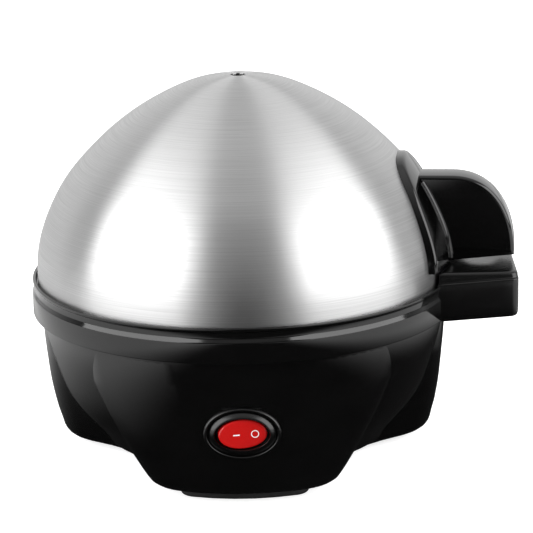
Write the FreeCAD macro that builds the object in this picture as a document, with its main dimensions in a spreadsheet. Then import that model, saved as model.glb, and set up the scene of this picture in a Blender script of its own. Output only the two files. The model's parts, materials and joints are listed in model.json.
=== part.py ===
"""A table-top egg boiler: steel dome lid, black collar with a side handle, three-lobed base.

Every piece is drawn about the dome's axis, with height zero on the surface that the boiler
stands on. +Z is up, the rocker switch looks along -Y and the side handle points along +X. The
lid is put down with its grip turned a few degrees away from the side handle. At the end the
whole set moves along -X, so that the origin is in the middle of its outline.
All lengths are in millimetres and all angles, whose names end in angle, in degrees.
"""
import FreeCAD, Part
import Sketcher
import math
import os
import re

from FreeCAD import Placement, Rotation, Vector

doc = FreeCAD.newDocument("egg_boiler")

# Driving dimensions. Every value is written once, here.
SIZES = {
    # Whole object
    "lid_turn_angle": 6.0,
    "foot_count": 3,
    # Collar and its side handle
    "collar_radius": 86.0,
    "collar_bottom": 61.9,
    "collar_top": 75.9,
    "collar_skirt": 3.0,
    "collar_ledge_top": 73.6,
    "collar_ledge": 3.4,
    "collar_ledge_width": 16.0,
    "collar_lip": 1.6,
    "collar_groove_depth": 0.7,
    "collar_groove_bottom": 71.9,
    "collar_groove_top": 74.2,
    "collar_edge_round": 0.8,
    "collar_pilot_radius": 1.25,
    "collar_pilot_depth": 2.6,
    "side_handle_length": 23.8,
    "side_handle_width": 68.6,
    "side_handle_height": 15.1,
    "side_handle_top": 19.1,
    "side_handle_shoulder_inset": 1.6,
    "side_handle_shoulder_end_inset": 0.4,
    "side_handle_shoulder_round": 1.3,
    "side_handle_rise_angle": 3.6,
    "side_handle_corner": 3.2,
    "side_handle_edge": 1.1,
    "side_handle_wall": 2.6,
    "side_handle_dish_margin": 14.1,
    "side_handle_dish_depth": 2.0,
    "side_handle_dish_half_length": 9.2,
    "side_handle_dish_half_width": 24.0,
    # Housing
    "housing_wall": 2.2,
    "bowl_inset": 3.4,
    "bowl_bottom": 9.5,
    "housing_top": 68.4,
    "housing_shelf": 2.0,
    "housing_shelf_step": 0.5,
    "floor_opening_share": 0.611,
    "lobe_inset": 3.7,
    "lobe_bottom": 3.8,
    "lobe_top": 66.0,
    "lobe_corner_share": 0.2187,
    "lobe_back_share": 0.4374,
    "lobe_flare": 2.0,
    "lobe_point_count": 41,
    "facet_inset": 4.4,
    "screw_post_radius": 3.4,
    "screw_post_height": 4.0,
    # Feet
    "foot_outer_share": 0.804,
    "foot_width": 15.5,
    "foot_half_angle": 22.0,
    "foot_corner": 5.0,
    "foot_round": 1.2,
    # Bottom cover
    "cover_share": 0.6538,
    "cover_thickness": 2.0,
    "cover_screw_share": 0.741,
    "cover_vent_width": 3.0,
    "cover_vent_length": 26.0,
    "cover_vent_pitch": 6.5,
    "cover_vent_count": 5,
    # Screws shared by cover, collar and clamp
    "screw_radius": 1.5,
    "screw_head_radius": 2.8,
    "screw_head_height": 1.8,
    "screw_length": 6.0,
    "collar_screw_margin": 2.0,
    # Dome lid
    "lid_play": 0.9,
    "dome_rim": 73.9,
    "dome_apex": 156.4,
    "dome_sheet": 0.6,
    "steam_hole_radius": 3.0,
    # Lid handle
    "flange_sheet": 1.8,
    "flange_rim_sheet": 3.3,
    "flange_half_width": 31.2,
    "flange_bottom": 82.5,
    "flange_top": 124.4,
    "flange_rim_width": 5.0,
    "grip_thickness": 14.0,
    "grip_length": 26.9,
    "grip_top": 116.3,
    "grip_bottom": 81.6,
    "grip_bottom_rise": 2.4,
    "grip_round": 1.5,
    "grip_root": 23.5,
    "grip_shoulder": 1.5,
    "grip_bulge_share": 0.735,
    "lid_screw_low": 90.0,
    "lid_screw_high": 104.0,
    "lid_screw_radius": 1.9,
    "lid_screw_length": 16.0,
    "lid_screw_head_radius": 3.4,
    "lid_screw_head_height": 2.2,
    "backing_sheet": 1.0,
    "backing_half_width": 7.0,
    "backing_margin": 6.0,
    # Egg rack
    "rack_wall": 1.6,
    "rack_play": 1.8,
    "rack_flange_play": 2.4,
    "rack_floor": 64.4,
    "rack_hole_margin": 18.2,
    "rack_hole_share": 0.31,
    "rack_hole_count": 7,
    "rack_vent_radius": 2.2,
    "rack_vent_share": 0.44,
    "rack_vent_count": 7,
    "rack_bore_radius": 3.0,
    "knob_stem_radius": 4.2,
    "knob_radius": 9.0,
    "knob_height": 12.0,
    "knob_top": 122.0,
    "knob_waist_share": 0.8,
    "knob_belly_share": 0.5,
    "knob_crown_share": 0.85,
    "knob_collar_radius": 7.5,
    "knob_collar_height": 2.0,
    # Water dish and seal
    "dish_sheet": 0.6,
    "dish_rim_width": 4.0,
    "dish_floor": 51.4,
    "dish_slope": 5.0,
    "gasket_width": 3.0,
    # Heater
    "spreader_margin": 5.2,
    "spreader_thickness": 3.2,
    "element_margin": 15.0,
    "element_radius": 3.3,
    "element_gap_angle": 40.0,
    "element_leg": 11.0,
    "element_pin_radius": 1.6,
    "element_pin_length": 8.0,
    "element_bead_radius": 2.6,
    "element_bead_length": 3.0,
    "clamp_width": 8.0,
    "clamp_sheet": 1.2,
    "clamp_overhang": 5.0,
    "stud_radius": 2.5,
    "stud_bottom": 19.5,
    "nut_flats": 8.0,
    "nut_height": 4.0,
    "shield_share": 0.8636,
    "shield_height": 25.0,
    "shield_sheet": 0.6,
    "shield_rim": 2.0,
    # Thermostat, fuse and earth
    "thermostat_place_share": 0.5227,
    "thermostat_radius": 8.0,
    "thermostat_cap_height": 3.5,
    "thermostat_body_height": 6.5,
    "thermostat_blade_length": 5.5,
    "thermostat_blade_width": 4.0,
    "thermostat_blade_pitch": 9.0,
    "bracket_sheet": 0.8,
    "bracket_length": 25.0,
    "bracket_width": 6.0,
    "fuse_radius": 2.0,
    "fuse_length": 13.0,
    "sleeve_radius": 2.7,
    "sleeve_length": 17.0,
    "fuse_place_share": 0.5,
    "fuse_lead_radius": 0.5,
    "fuse_lead_length": 4.5,
    "fuse_crimp_radius": 1.4,
    "fuse_crimp_length": 6.0,
    "clip_width": 5.0,
    "clip_sheet": 0.6,
    "clip_foot": 5.0,
    "earth_margin": 5.0,
    "earth_tab_length": 13.0,
    "earth_tab_width": 6.3,
    "blade_sheet": 0.8,
    # Switch
    "switch_height": 31.0,
    "bezel_half_width": 14.9,
    "bezel_half_height": 10.4,
    "bezel_thickness": 1.9,
    "bezel_inner_half_width": 12.85,
    "bezel_inner_half_height": 8.7,
    "bezel_groove": 0.8,
    "bezel_dip": 1.2,
    "switch_body_half_width": 12.3,
    "switch_body_half_height": 8.1,
    "switch_body_depth": 15.0,
    "switch_body_wall": 1.1,
    "switch_cutout_clearance": 0.3,
    "rocker_half_width": 9.5,
    "rocker_half_height": 5.9,
    "rocker_front": 2.4,
    "rocker_back": 7.0,
    "rocker_clearance": 1.0,
    "rocker_slot_clearance": 0.35,
    "rocker_dip": 0.9,
    "rocker_rest_angle": 9.0,
    "rocker_pivot_depth": 3.2,
    "rocker_pin_radius": 1.3,
    "rocker_pin_length": 1.3,
    "pin_clearance": 0.06,
    "contact_width": 4.8,
    "contact_length": 9.0,
    "contact_pitch": 7.5,
    "lamp_radius": 1.6,
    "lamp_length": 9.0,
    "lamp_depth": 11.8,
    # Cord entry and wiring
    "gland_height": 25.0,
    "gland_pad_inset": 7.1,
    "gland_pad_radius": 9.5,
    "gland_flange_radius": 8.0,
    "gland_flange": 2.2,
    "gland_neck_radius": 5.6,
    "gland_bore_radius": 3.4,
    "gland_length": 17.0,
    "wire_radius": 1.1,
    "wire_bend_share": 0.45,
    "wire_lead_share": 0.75,
    "wire_short_lead_share": 0.5,
    "wire_long_lead_share": 1.5,
    "terminal_block_width": 20.0,
    "terminal_block_depth": 9.0,
    "terminal_block_height": 9.0,
    "terminal_block_share": 0.5992,
    "terminal_bore_radius": 1.9,
    "terminal_screw_radius": 1.3,
    "receptacle_length": 11.0,
    "receptacle_width": 6.4,
    "receptacle_height": 3.0,
    "flag_height": 7.4,
    "pin_receptacle_width": 5.4,
    "pin_receptacle_height": 6.0,
    # Fits
    "clearance": 0.3,
    "press_gap": 0.05,
    "seat_gap": 0.05,
    "cut_overrun": 4.0,
}

# Sizes that follow from the ones above, so that a piece moves with the one it fits.
DERIVED = {
    "dome_radius": "collar_radius - collar_lip - lid_play",
    "collar_bore_radius": "collar_radius - collar_ledge_width",
    "side_handle_reach": "collar_radius + side_handle_length",
    "side_handle_dish_place": "side_handle_reach - side_handle_dish_margin",
    "bowl_radius": "collar_radius - bowl_inset",
    "lobe_radius": "collar_radius - lobe_inset",
    "lobe_corner_radius": "lobe_radius * lobe_corner_share",
    "lobe_back": "lobe_radius * lobe_back_share",
    "facet_distance": "lobe_radius - facet_inset",
    "foot_outer_radius": "lobe_radius * foot_outer_share",
    "foot_inner_radius": "foot_outer_radius - foot_width",
    "cover_radius": "bowl_radius * cover_share",
    "cover_screw_circle_radius": "cover_radius * cover_screw_share",
    "floor_opening_radius": "cover_radius * floor_opening_share",
    "grip_reach": "dome_radius + grip_length",
    "grip_inner_reach": "dome_radius - grip_root",
    "grip_shoulder_reach": "dome_radius + grip_shoulder",
    "rack_radius": "collar_bore_radius - rack_play",
    "rack_flange_radius": "dome_radius - dome_sheet - rack_flange_play",
    "rack_hole_circle_radius": "rack_radius - rack_hole_margin",
    "rack_hole_radius": "rack_hole_circle_radius * rack_hole_share",
    "rack_vent_circle_radius": "rack_hole_circle_radius * rack_vent_share",
    "housing_shelf_bore_radius": "collar_bore_radius - housing_shelf_step",
    "dish_well_radius": "housing_shelf_bore_radius - clearance",
    "dish_rim_radius": "dish_well_radius + dish_rim_width",
    "collar_screw_circle_radius": "dish_rim_radius + collar_screw_margin",
    "spreader_radius": "dish_well_radius - dish_slope - spreader_margin",
    "element_circle_radius": "spreader_radius - element_margin",
    "shield_radius": "element_circle_radius * shield_share",
    "thermostat_place": "element_circle_radius * thermostat_place_share",
    "fuse_place": "element_circle_radius * fuse_place_share",
    "earth_place": "spreader_radius - earth_margin",
    "gland_pad_reach": "bowl_radius - gland_pad_inset",
    "terminal_block_place": "bowl_radius * terminal_block_share",
}

sheet = doc.addObject("Spreadsheet::Sheet", "sizes")
for row, (alias, number) in enumerate(SIZES.items(), start=1):
    sheet.set(f"A{row}", alias)
    sheet.set(f"B{row}", str(number))
    sheet.setAlias(f"B{row}", alias)
doc.recompute()


def cells(text):
    """Puts the sheet's cells, or a derived size's own expression, in place of the names."""
    def cell(match):
        name = match.group(0)
        if name in DERIVED:
            return "(" + cells(DERIVED[name]) + ")"
        return "sizes." + name if name in SIZES else name
    return re.sub(r"[a-z_]+", cell, text)


def size(alias):
    """Reads one driving dimension from the sheet, or works out a derived one from its cells."""
    if alias in DERIVED:
        return float(sheet.evalExpression(cells(alias)))
    return float(getattr(sheet, alias))


PIECES = []


def keep(piece, label):
    """Gives a finished piece its label and remembers it for the checks and the export."""
    piece.Label = label
    PIECES.append(piece)
    return piece


def shaped(label, shape, turned=False):
    """A piece whose shape comes from Part's own functions; turned pieces belong to the lid."""
    piece = doc.addObject("Part::Feature", label)
    piece.Shape = shape
    if turned:
        piece.Placement = LID_TURN
    return keep(piece, label)


X_AXIS = Vector(1, 0, 0)
Y_AXIS = Vector(0, 1, 0)
Z_AXIS = Vector(0, 0, 1)
LID_TURN = Placement(Vector(), Rotation(Z_AXIS, -size("lid_turn_angle")))


def plane(body, role):
    """One of the origin planes of a body."""
    return next(f for f in body.Origin.OriginFeatures if f.Role == role)


def bound_outline(body, role, name, corners):
    """A closed sketch of straight edges whose corners follow expressions on the sheet."""
    sketch = body.newObject("Sketcher::SketchObject", name)
    sketch.AttachmentSupport = [(plane(body, role), "")]
    sketch.MapMode = "FlatFace"
    points = []
    for across, up in corners:
        place = [float(sketch.evalExpression(cells(part))) for part in (across, up)]
        points.append(Vector(place[0], place[1], 0))
    for start, end in zip(points, points[1:] + points[:1]):
        sketch.addGeometry(Part.LineSegment(start, end), False)
    count = len(points)
    for index in range(count):
        sketch.addConstraint(Sketcher.Constraint("Coincident", index, 2, (index + 1) % count, 1))
    for index, (across, up) in enumerate(corners):
        point = points[index]
        for kind, text, value in (("DistanceX", across, point.x), ("DistanceY", up, point.y)):
            if text == "0":
                axis = -2 if kind == "DistanceX" else -1
                sketch.addConstraint(Sketcher.Constraint("PointOnObject", index, 1, axis))
                continue
            number = sketch.addConstraint(Sketcher.Constraint(kind, -1, 1, index, 1, value))
            sketch.setExpression(f"Constraints[{number}]", cells(text))
    return sketch


def turned_body(label, corners):
    """A body of revolution about Z from an outline of radius and height."""
    body = doc.addObject("PartDesign::Body", label)
    sketch = bound_outline(body, "XZ_Plane", label + "_outline", corners)
    spin = body.newObject("PartDesign::Revolution", label + "_turn")
    spin.Profile = sketch
    spin.ReferenceAxis = (sketch, ["V_Axis"])
    spin.Angle = 360
    sketch.Visibility = False
    return body


def round_hole_ring(body, name, circle, radius, count, height, depth):
    """A circle of through holes: one pocket and its polar pattern."""
    sketch = body.newObject("Sketcher::SketchObject", name + "_sketch")
    sketch.AttachmentSupport = [(plane(body, "XY_Plane"), "")]
    sketch.MapMode = "FlatFace"
    sketch.setExpression("AttachmentOffset.Base.z", cells(height))
    place = float(sketch.evalExpression(cells(circle)))
    wide = float(sketch.evalExpression(cells(radius)))
    sketch.addGeometry(Part.Circle(Vector(0, -place, 0), Z_AXIS, wide), False)
    number = sketch.addConstraint(Sketcher.Constraint("Radius", 0, wide))
    sketch.setExpression(f"Constraints[{number}]", cells(radius))
    sketch.addConstraint(Sketcher.Constraint("PointOnObject", 0, 3, -2))
    number = sketch.addConstraint(Sketcher.Constraint("DistanceY", 0, 3, -1, 1, place))
    sketch.setExpression(f"Constraints[{number}]", cells(circle))
    pocket = body.newObject("PartDesign::Pocket", name)
    pocket.Profile = sketch
    pocket.setExpression("Length", cells(depth))
    pocket.Midplane = True
    doc.recompute()
    pattern = body.newObject("PartDesign::PolarPattern", name + "_ring")
    pattern.Originals = [pocket]
    pattern.Axis = (sketch, ["N_Axis"])
    pattern.Angle = 360
    pattern.Occurrences = count
    body.Tip = pattern
    return pattern


# Curves shared by the dome, its handle and the housing.
# Each pair is a share of the radius and a share of the height.
DOME_SHARES = [
    (1.000, 0.000), (0.9985, 0.120), (0.973, 0.244), (0.925, 0.366), (0.857, 0.487),
    (0.758, 0.608), (0.633, 0.729), (0.505, 0.826), (0.357, 0.911), (0.212, 0.970), (0.0, 1.0),
]
BOWL_SHARES = [
    (0.711, 0.000), (0.752, 0.076), (0.824, 0.195), (0.896, 0.348), (0.942, 0.518),
    (0.970, 0.654), (0.991, 0.789), (1.000, 1.000),
]
# Outline of the lid handle's flange: a share of its half width and a share of its height.
ARCH_SHARES = [(1.0, 0.0), (0.965, 0.38), (0.90, 0.62), (0.74, 0.83), (0.46, 0.955), (0.0, 1.0)]
# Height, outer radius and half width of a foot lobe, as shares of the lobe's own sizes.
LOBE_SHARES = [
    (0.000, 0.857, 0.413), (0.013, 0.894, 0.437), (0.032, 0.921, 0.452), (0.060, 0.936, 0.465),
    (0.121, 0.942, 0.496), (0.209, 0.950, 0.537), (0.322, 0.960, 0.585), (0.482, 0.973, 0.654),
    (0.675, 0.988, 0.720), (0.775, 0.992, 0.738), (0.871, 0.986, 0.748), (1.000, 0.966, 0.750),
]


def smooth_curve(points):
    """One smooth edge through the points."""
    curve = Part.BSplineCurve()
    curve.interpolate(points)
    return curve


def dome_points(grow):
    """The dome's outline, grown outwards by a length."""
    base = size("dome_rim")
    rise = size("dome_apex") - base
    wide = size("dome_radius") + grow
    tall = rise + grow
    return [Vector(share * wide, 0, base + height * tall) for share, height in DOME_SHARES]


def dome_solid(grow):
    """The solid under the dome's outline, down to its rim."""
    points = dome_points(grow)
    curve = smooth_curve(points).toShape()
    rim = Part.makeLine(points[0], Vector(0, 0, points[0].z))
    axis = Part.makeLine(Vector(0, 0, points[0].z), points[-1])
    face = Part.Face(Part.Wire([curve, axis, rim]))
    return face.revolve(Vector(), Z_AXIS, 360)


def bowl_solid(shrink, floor):
    """The bowl of revolution, with its wall moved inwards, from a floor height up."""
    base = size("bowl_bottom")
    rise = size("housing_top") - base
    wide = size("bowl_radius")
    points = [Vector(share * wide - shrink, 0, base + height * rise) for share, height in BOWL_SHARES]
    edges = [
        smooth_curve(points).toShape(),
        Part.makeLine(Vector(0, 0, points[-1].z), Vector(0, 0, base)),
        Part.makeLine(points[-1], Vector(0, 0, points[-1].z)),
        Part.makeLine(Vector(0, 0, base), points[0]),
    ]
    solid = Part.Face(Part.Wire(Part.__sortEdges__(edges))).revolve(Vector(), Z_AXIS, 360)
    if floor > base:
        keep_above = Part.makeCylinder(wide + size("cut_overrun"), rise, Vector(0, 0, floor))
        solid = solid.common(keep_above)
    return solid


def lobe_outline(height, radius, half_width, corner, back):
    """Evenly spaced points along one section of a lobe that looks along -Y, from side to side."""
    centre_x = half_width - corner
    centre_y = -math.sqrt((radius - corner) ** 2 - centre_x ** 2)
    reach = math.hypot(centre_x, centre_y)
    touch = Vector(centre_x * radius / reach, centre_y * radius / reach, height)
    side = Vector(half_width, centre_y, height)
    between = math.atan2(centre_y, centre_x) / 2
    middle = Vector(centre_x + corner * math.cos(between), centre_y + corner * math.sin(between), height)
    inner = Vector(half_width + size("lobe_flare"), -back, height)

    def mirror(point):
        return Vector(-point.x, point.y, point.z)

    edges = [
        Part.makeLine(inner, side),
        Part.Arc(side, middle, touch).toShape(),
        Part.Arc(touch, Vector(0, -radius, height), mirror(touch)).toShape(),
        Part.Arc(mirror(touch), mirror(middle), mirror(side)).toShape(),
        Part.makeLine(mirror(side), mirror(inner)),
    ]
    return Part.Wire(edges).discretize(int(size("lobe_point_count")))


def lobe_solid(shrink, floor):
    """One foot lobe under a smooth surface, with its wall moved inwards and its floor raised."""
    rise = size("lobe_top") - size("lobe_bottom")
    back = size("lobe_back") + shrink
    corner = size("lobe_corner_radius") - shrink
    rows = []
    for height, radius, width in LOBE_SHARES:
        outer = radius * size("lobe_radius") - shrink
        half = width * size("lobe_radius") - shrink
        rows.append(lobe_outline(size("lobe_bottom") + height * rise, outer, half, corner, back))
    skin = Part.BSplineSurface()
    skin.interpolate(rows)
    skin = skin.toShape()
    low = rows[0][0].z
    high = rows[-1][0].z
    edge_low = next(e for e in skin.Edges if e.BoundBox.ZMax < low + size("seat_gap"))
    edge_high = next(e for e in skin.Edges if e.BoundBox.ZMin > high - size("seat_gap"))
    sides = [e for e in skin.Edges if e.BoundBox.ZLength > rise / 2]
    line_low = Part.makeLine(rows[0][0], rows[0][-1])
    line_high = Part.makeLine(rows[-1][0], rows[-1][-1])
    faces = [skin]
    faces.append(Part.Face(Part.Wire(Part.__sortEdges__([edge_low, line_low]))))
    faces.append(Part.Face(Part.Wire(Part.__sortEdges__([edge_high, line_high]))))
    faces.append(Part.Face(Part.Wire(Part.__sortEdges__(sides + [line_low, line_high]))))
    shell = Part.makeShell(faces)
    shell.sewShape()
    solid = Part.makeSolid(shell)
    if solid.Volume < 0:
        solid.reverse()
    if floor > size("lobe_bottom"):
        tall = size("lobe_top") - floor + size("cut_overrun")
        wide = size("lobe_radius") + size("cut_overrun")
        solid = solid.common(Part.makeBox(2 * wide, 2 * wide, tall, Vector(-wide, -wide, floor)))
    return solid


def around(shape, count, start_angle=0.0):
    """Copies of a shape turned evenly about the axis."""
    copies = []
    for index in range(count):
        copy = shape.copy()
        copy.rotate(Vector(), Z_AXIS, start_angle + 360.0 * index / count)
        copies.append(copy)
    return copies


def rod(start, end, radius):
    """A round bar between two points."""
    along = end - start
    return Part.makeCylinder(radius, along.Length, start, along)


FEET = int(size("foot_count"))
BETWEEN_FEET = 180.0 / FEET
FACET_Y = -size("facet_distance")


def oval_ring(half_width, half_height, front):
    """An oval outline in the switch's own place, at a distance in front of the facet."""
    centre = Vector(0, FACET_Y - front, size("switch_height"))
    curve = Part.Ellipse(centre + X_AXIS * half_width, centre + Z_AXIS * half_height, centre)
    return Part.Wire(curve.toShape())


def oval(half_width, half_height, front, back):
    """An oval prism between two distances in front of the facet."""
    return Part.Face(oval_ring(half_width, half_height, back)).extrude(Vector(0, back - front, 0))


def make_housing():
    """The bowl with its three foot lobes, hollow, with the switch facet and the cord pad."""
    wall = size("housing_wall")
    over = size("cut_overrun")

    def form(shrink, bowl_floor, lobe_floor):
        facet = size("facet_distance") - shrink
        body = bowl_solid(shrink, bowl_floor)
        for lobe in around(lobe_solid(shrink, lobe_floor), FEET):
            body = body.fuse(lobe)
        reach = size("collar_radius") + over
        front = Part.makeBox(2 * reach, reach - facet, size("housing_top") + 2 * over)
        front.translate(Vector(-reach, -reach, -over))
        return body.cut(front)

    outer = form(0.0, size("bowl_bottom"), size("lobe_bottom"))
    inner = form(wall, size("bowl_bottom") + wall, size("lobe_bottom") + wall)
    shelf_under = size("housing_top") - size("housing_shelf")
    below_shelf = Part.makeCylinder(size("collar_radius"), shelf_under + over, Vector(0, 0, -over))
    shell = outer.cut(inner.common(below_shelf))
    floor = size("bowl_bottom")
    shelf_bore = Part.makeCylinder(size("housing_shelf_bore_radius"), size("housing_shelf") + 2 * over,
                                   Vector(0, 0, shelf_under - over))
    opening = Part.makeCylinder(size("floor_opening_radius"), wall + 2 * over, Vector(0, 0, floor - over))
    shell = shell.cut(shelf_bore).cut(opening)

    axis = Vector(0, 0, size("gland_height"))
    pad = rod(axis + Y_AXIS * size("cover_radius"), axis + Y_AXIS * size("gland_pad_reach"),
              size("gland_pad_radius"))
    shell = shell.fuse(pad.cut(inner))
    neck_radius = size("gland_neck_radius") + size("press_gap")
    shell = shell.cut(rod(axis, axis + Y_AXIS * size("collar_radius"), neck_radius))

    at = Vector(0, -size("cover_screw_circle_radius"), floor)
    post = Part.makeCylinder(size("screw_post_radius"), size("screw_post_height"), at + Z_AXIS * (wall / 2))
    pilot_radius = size("screw_radius") + size("press_gap")
    pilot = rod(at - Z_AXIS * over, at + Z_AXIS * size("screw_length"), pilot_radius)
    for copy in around(post, FEET, BETWEEN_FEET):
        shell = shell.fuse(copy)
    for copy in around(pilot, FEET, BETWEEN_FEET):
        shell = shell.cut(copy)
    hole = Part.makeCylinder(size("screw_radius") + size("clearance"), size("housing_shelf") + 2 * over,
                             Vector(0, -size("collar_screw_circle_radius"), shelf_under - over))
    for copy in around(hole, FEET, BETWEEN_FEET):
        shell = shell.cut(copy)

    gap = size("switch_cutout_clearance")
    cutout = oval(size("switch_body_half_width") + gap, size("switch_body_half_height") + gap, over,
                  -wall - over)
    shell = shell.cut(cutout)
    shaped("housing", shell.removeSplitter())


def make_feet():
    """A pad under each lobe, a sector of a ring with rounded corners and a rounded lower edge."""
    tall = size("lobe_bottom") - size("seat_gap")
    half = size("foot_half_angle")
    profile = Part.makePolygon([
        Vector(size("foot_inner_radius"), 0, 0), Vector(size("foot_outer_radius"), 0, 0),
        Vector(size("foot_outer_radius"), 0, tall), Vector(size("foot_inner_radius"), 0, tall),
        Vector(size("foot_inner_radius"), 0, 0)])
    pad = Part.Face(profile).revolve(Vector(), Z_AXIS, 2 * half)
    pad.rotate(Vector(), Z_AXIS, -90 - half)
    upright = [edge for edge in pad.Edges if edge.BoundBox.ZLength > tall / 2]
    pad = pad.makeFillet(size("foot_corner"), upright)
    low = [edge for edge in pad.Edges if edge.BoundBox.ZMax < tall / 2]
    pad = pad.makeFillet(size("foot_round"), low)
    names = ["foot_pad_front", "foot_pad_right", "foot_pad_left"]
    for name, copy in zip(names, around(pad, FEET)):
        shaped(name, copy)


def make_bottom_cover():
    """The plate under the floor, notched round the lobes, with vents and three screws."""
    thick = size("cover_thickness")
    low = size("bowl_bottom") - size("seat_gap") - thick
    over = size("cut_overrun")
    cover = Part.makeCylinder(size("cover_radius"), thick, Vector(0, 0, low))
    lobe_low = LOBE_SHARES[4][2] * size("lobe_radius") + size("housing_wall") + size("clearance")
    notch_y = size("clearance") - size("lobe_back") - size("cover_radius")
    notch = Part.makeBox(2 * lobe_low, size("cover_radius"), thick + 2 * over,
                         Vector(-lobe_low, notch_y, low - over))
    for copy in around(notch, FEET):
        cover = cover.cut(copy)
    count = int(size("cover_vent_count"))
    for index in range(count):
        x = (index - (count - 1) / 2) * size("cover_vent_pitch")
        wide, long = size("cover_vent_width"), size("cover_vent_length")
        slot = Part.makeBox(wide, long, thick + 2 * over, Vector(x - wide / 2, -long / 2, low - over))
        cover = cover.cut(slot)
    hole = Part.makeCylinder(size("screw_radius") + size("clearance"), thick + 2 * over,
                             Vector(0, -size("cover_screw_circle_radius"), low - over))
    for copy in around(hole, FEET, BETWEEN_FEET):
        cover = cover.cut(copy)
    shaped("bottom_cover", cover)

    at = Vector(0, -size("cover_screw_circle_radius"), low - size("seat_gap"))
    screw = pan_screw(at, Z_AXIS, size("screw_length"))
    shaped("cover_screws", Part.makeCompound(around(screw, FEET, BETWEEN_FEET)))


def pan_screw(seat, along, length):
    """A cross-head screw: a head below its seat and a shank along the given direction."""
    head = size("screw_head_height")
    body = Part.makeCylinder(size("screw_head_radius"), head, seat, along * -1)
    body = body.fuse(Part.makeCylinder(size("screw_radius"), length, seat, along))
    slot = Part.makeBox(size("screw_head_radius"), size("screw_radius") / 2, head / 2)
    slot.translate(Vector(-size("screw_head_radius") / 2, -size("screw_radius") / 4, -head))
    cross = slot.fuse(slot.copy().rotate(Vector(0, 0, -head), Z_AXIS, 90))
    cross.Placement = Placement(seat, Rotation(Z_AXIS, along)).multiply(cross.Placement)
    return body.cut(cross)


def make_collar():
    """The collar: skirt, ledge, lip with its groove, and the side handle in one moulding."""
    radius = size("collar_radius")
    bottom = size("collar_bottom")
    top = size("collar_top")
    ledge = size("collar_ledge_top")
    under = ledge - size("collar_ledge")
    edge = size("collar_edge_round")
    skirt_inner = radius - size("collar_skirt")
    lip_inner = radius - size("collar_lip")
    groove = radius - size("collar_groove_depth")
    low = size("collar_groove_bottom")
    high = size("collar_groove_top")
    corners = [
        (skirt_inner, bottom), (radius - edge / 2, bottom), (radius, bottom + edge / 2),
        (radius, low - edge), (radius - edge / 4, low - edge / 4), (groove, low + edge / 4),
        (groove, high - edge / 4), (radius - edge / 4, high + edge / 4),
        (radius - edge / 4, top - edge / 2),
        (radius - edge, top), (lip_inner, top), (lip_inner, ledge),
        (size("collar_bore_radius"), ledge), (size("collar_bore_radius"), under), (skirt_inner, under),
    ]
    loop = [Vector(across, 0, up) for across, up in corners]
    collar = Part.Face(Part.makePolygon(loop + loop[:1])).revolve(Vector(), Z_AXIS, 360)

    rise = math.tan(math.radians(size("side_handle_rise_angle")))
    start = skirt_inner - size("collar_lip")
    reach = size("side_handle_reach")
    half = size("side_handle_width") / 2
    tall = size("side_handle_height")
    level = bottom + size("side_handle_top")
    wall = size("side_handle_wall")

    def bar(inset, from_x, to_x, below, top=None):
        """A bar whose underside rises outwards; its top rises too, unless its height is given."""
        width = half - inset
        low = [bottom + (x - start) * rise - below for x in (from_x, to_x)]
        high = [top or bottom + (x - start) * rise + tall - inset for x in (from_x, to_x)]
        side = Part.makePolygon([
            Vector(from_x, -width, low[0]), Vector(to_x, -width, low[1]),
            Vector(to_x, -width, high[1]), Vector(from_x, -width, high[0]),
            Vector(from_x, -width, low[0])])
        return Part.Face(side).extrude(Vector(0, 2 * width, 0))

    def rounded(box, round_name):
        """Rounds a bar's two upright outer corners and then the edge round its top."""
        small = size("seat_gap")
        outside = [e for e in box.Edges if e.BoundBox.XMin > radius + edge]
        outer = [e for e in outside if e.BoundBox.XLength < small and e.BoundBox.YLength < small]
        box = box.makeFillet(size("side_handle_corner"), outer)
        height = box.BoundBox.ZMax - size("side_handle_length") * rise - edge
        top_rim = [e for e in box.Edges if e.BoundBox.ZMin > height and e.BoundBox.XMax > radius + edge]
        return box.makeFillet(size(round_name), top_rim)

    block = rounded(bar(0.0, start, reach, 0.0), "side_handle_edge")
    shoulder_end = reach - size("side_handle_shoulder_end_inset")
    shoulder = bar(size("side_handle_shoulder_inset"), start, shoulder_end, -wall, level)
    block = block.fuse(rounded(shoulder, "side_handle_shoulder_round"))
    along = size("side_handle_dish_half_length")
    depth = size("side_handle_dish_depth")
    ball = (along ** 2 + depth ** 2) / (2 * depth)
    stretch = FreeCAD.Matrix()
    stretch.scale(1, size("side_handle_dish_half_width") / along, 1)
    dish = Part.makeSphere(ball, Vector(), Y_AXIS).transformGeometry(stretch)
    dish.translate(Vector(size("side_handle_dish_place"), 0, level + ball - depth))
    block = block.cut(dish)
    block = block.cut(bar(wall, radius + edge, reach - wall, size("cut_overrun")))
    over = size("cut_overrun")
    inside = Part.makeCylinder(skirt_inner, under - bottom + over, Vector(0, 0, bottom - over))
    inside = inside.fuse(Part.makeCylinder(lip_inner, tall + over, Vector(0, 0, ledge)))
    collar = collar.fuse(block.cut(inside))

    seat = Vector(0, -size("collar_screw_circle_radius"), under)
    pilot = Part.makeCylinder(size("collar_pilot_radius"), size("collar_pilot_depth"), seat)
    for copy in around(pilot, FEET, BETWEEN_FEET):
        collar = collar.cut(copy)
    shaped("collar_ring", collar.removeSplitter())

    head_seat = Vector(0, -size("collar_screw_circle_radius"),
                       size("housing_top") - size("housing_shelf") - size("seat_gap"))
    length = under + size("collar_pilot_depth") - size("seat_gap") - head_seat.z
    screw = Part.makeCylinder(size("screw_head_radius"), size("screw_head_height"), head_seat, Z_AXIS * -1)
    screw = screw.fuse(Part.makeCylinder(size("collar_pilot_radius") - size("press_gap"), length,
                                         head_seat))
    shaped("collar_screws", Part.makeCompound(around(screw, FEET, BETWEEN_FEET)))


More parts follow.
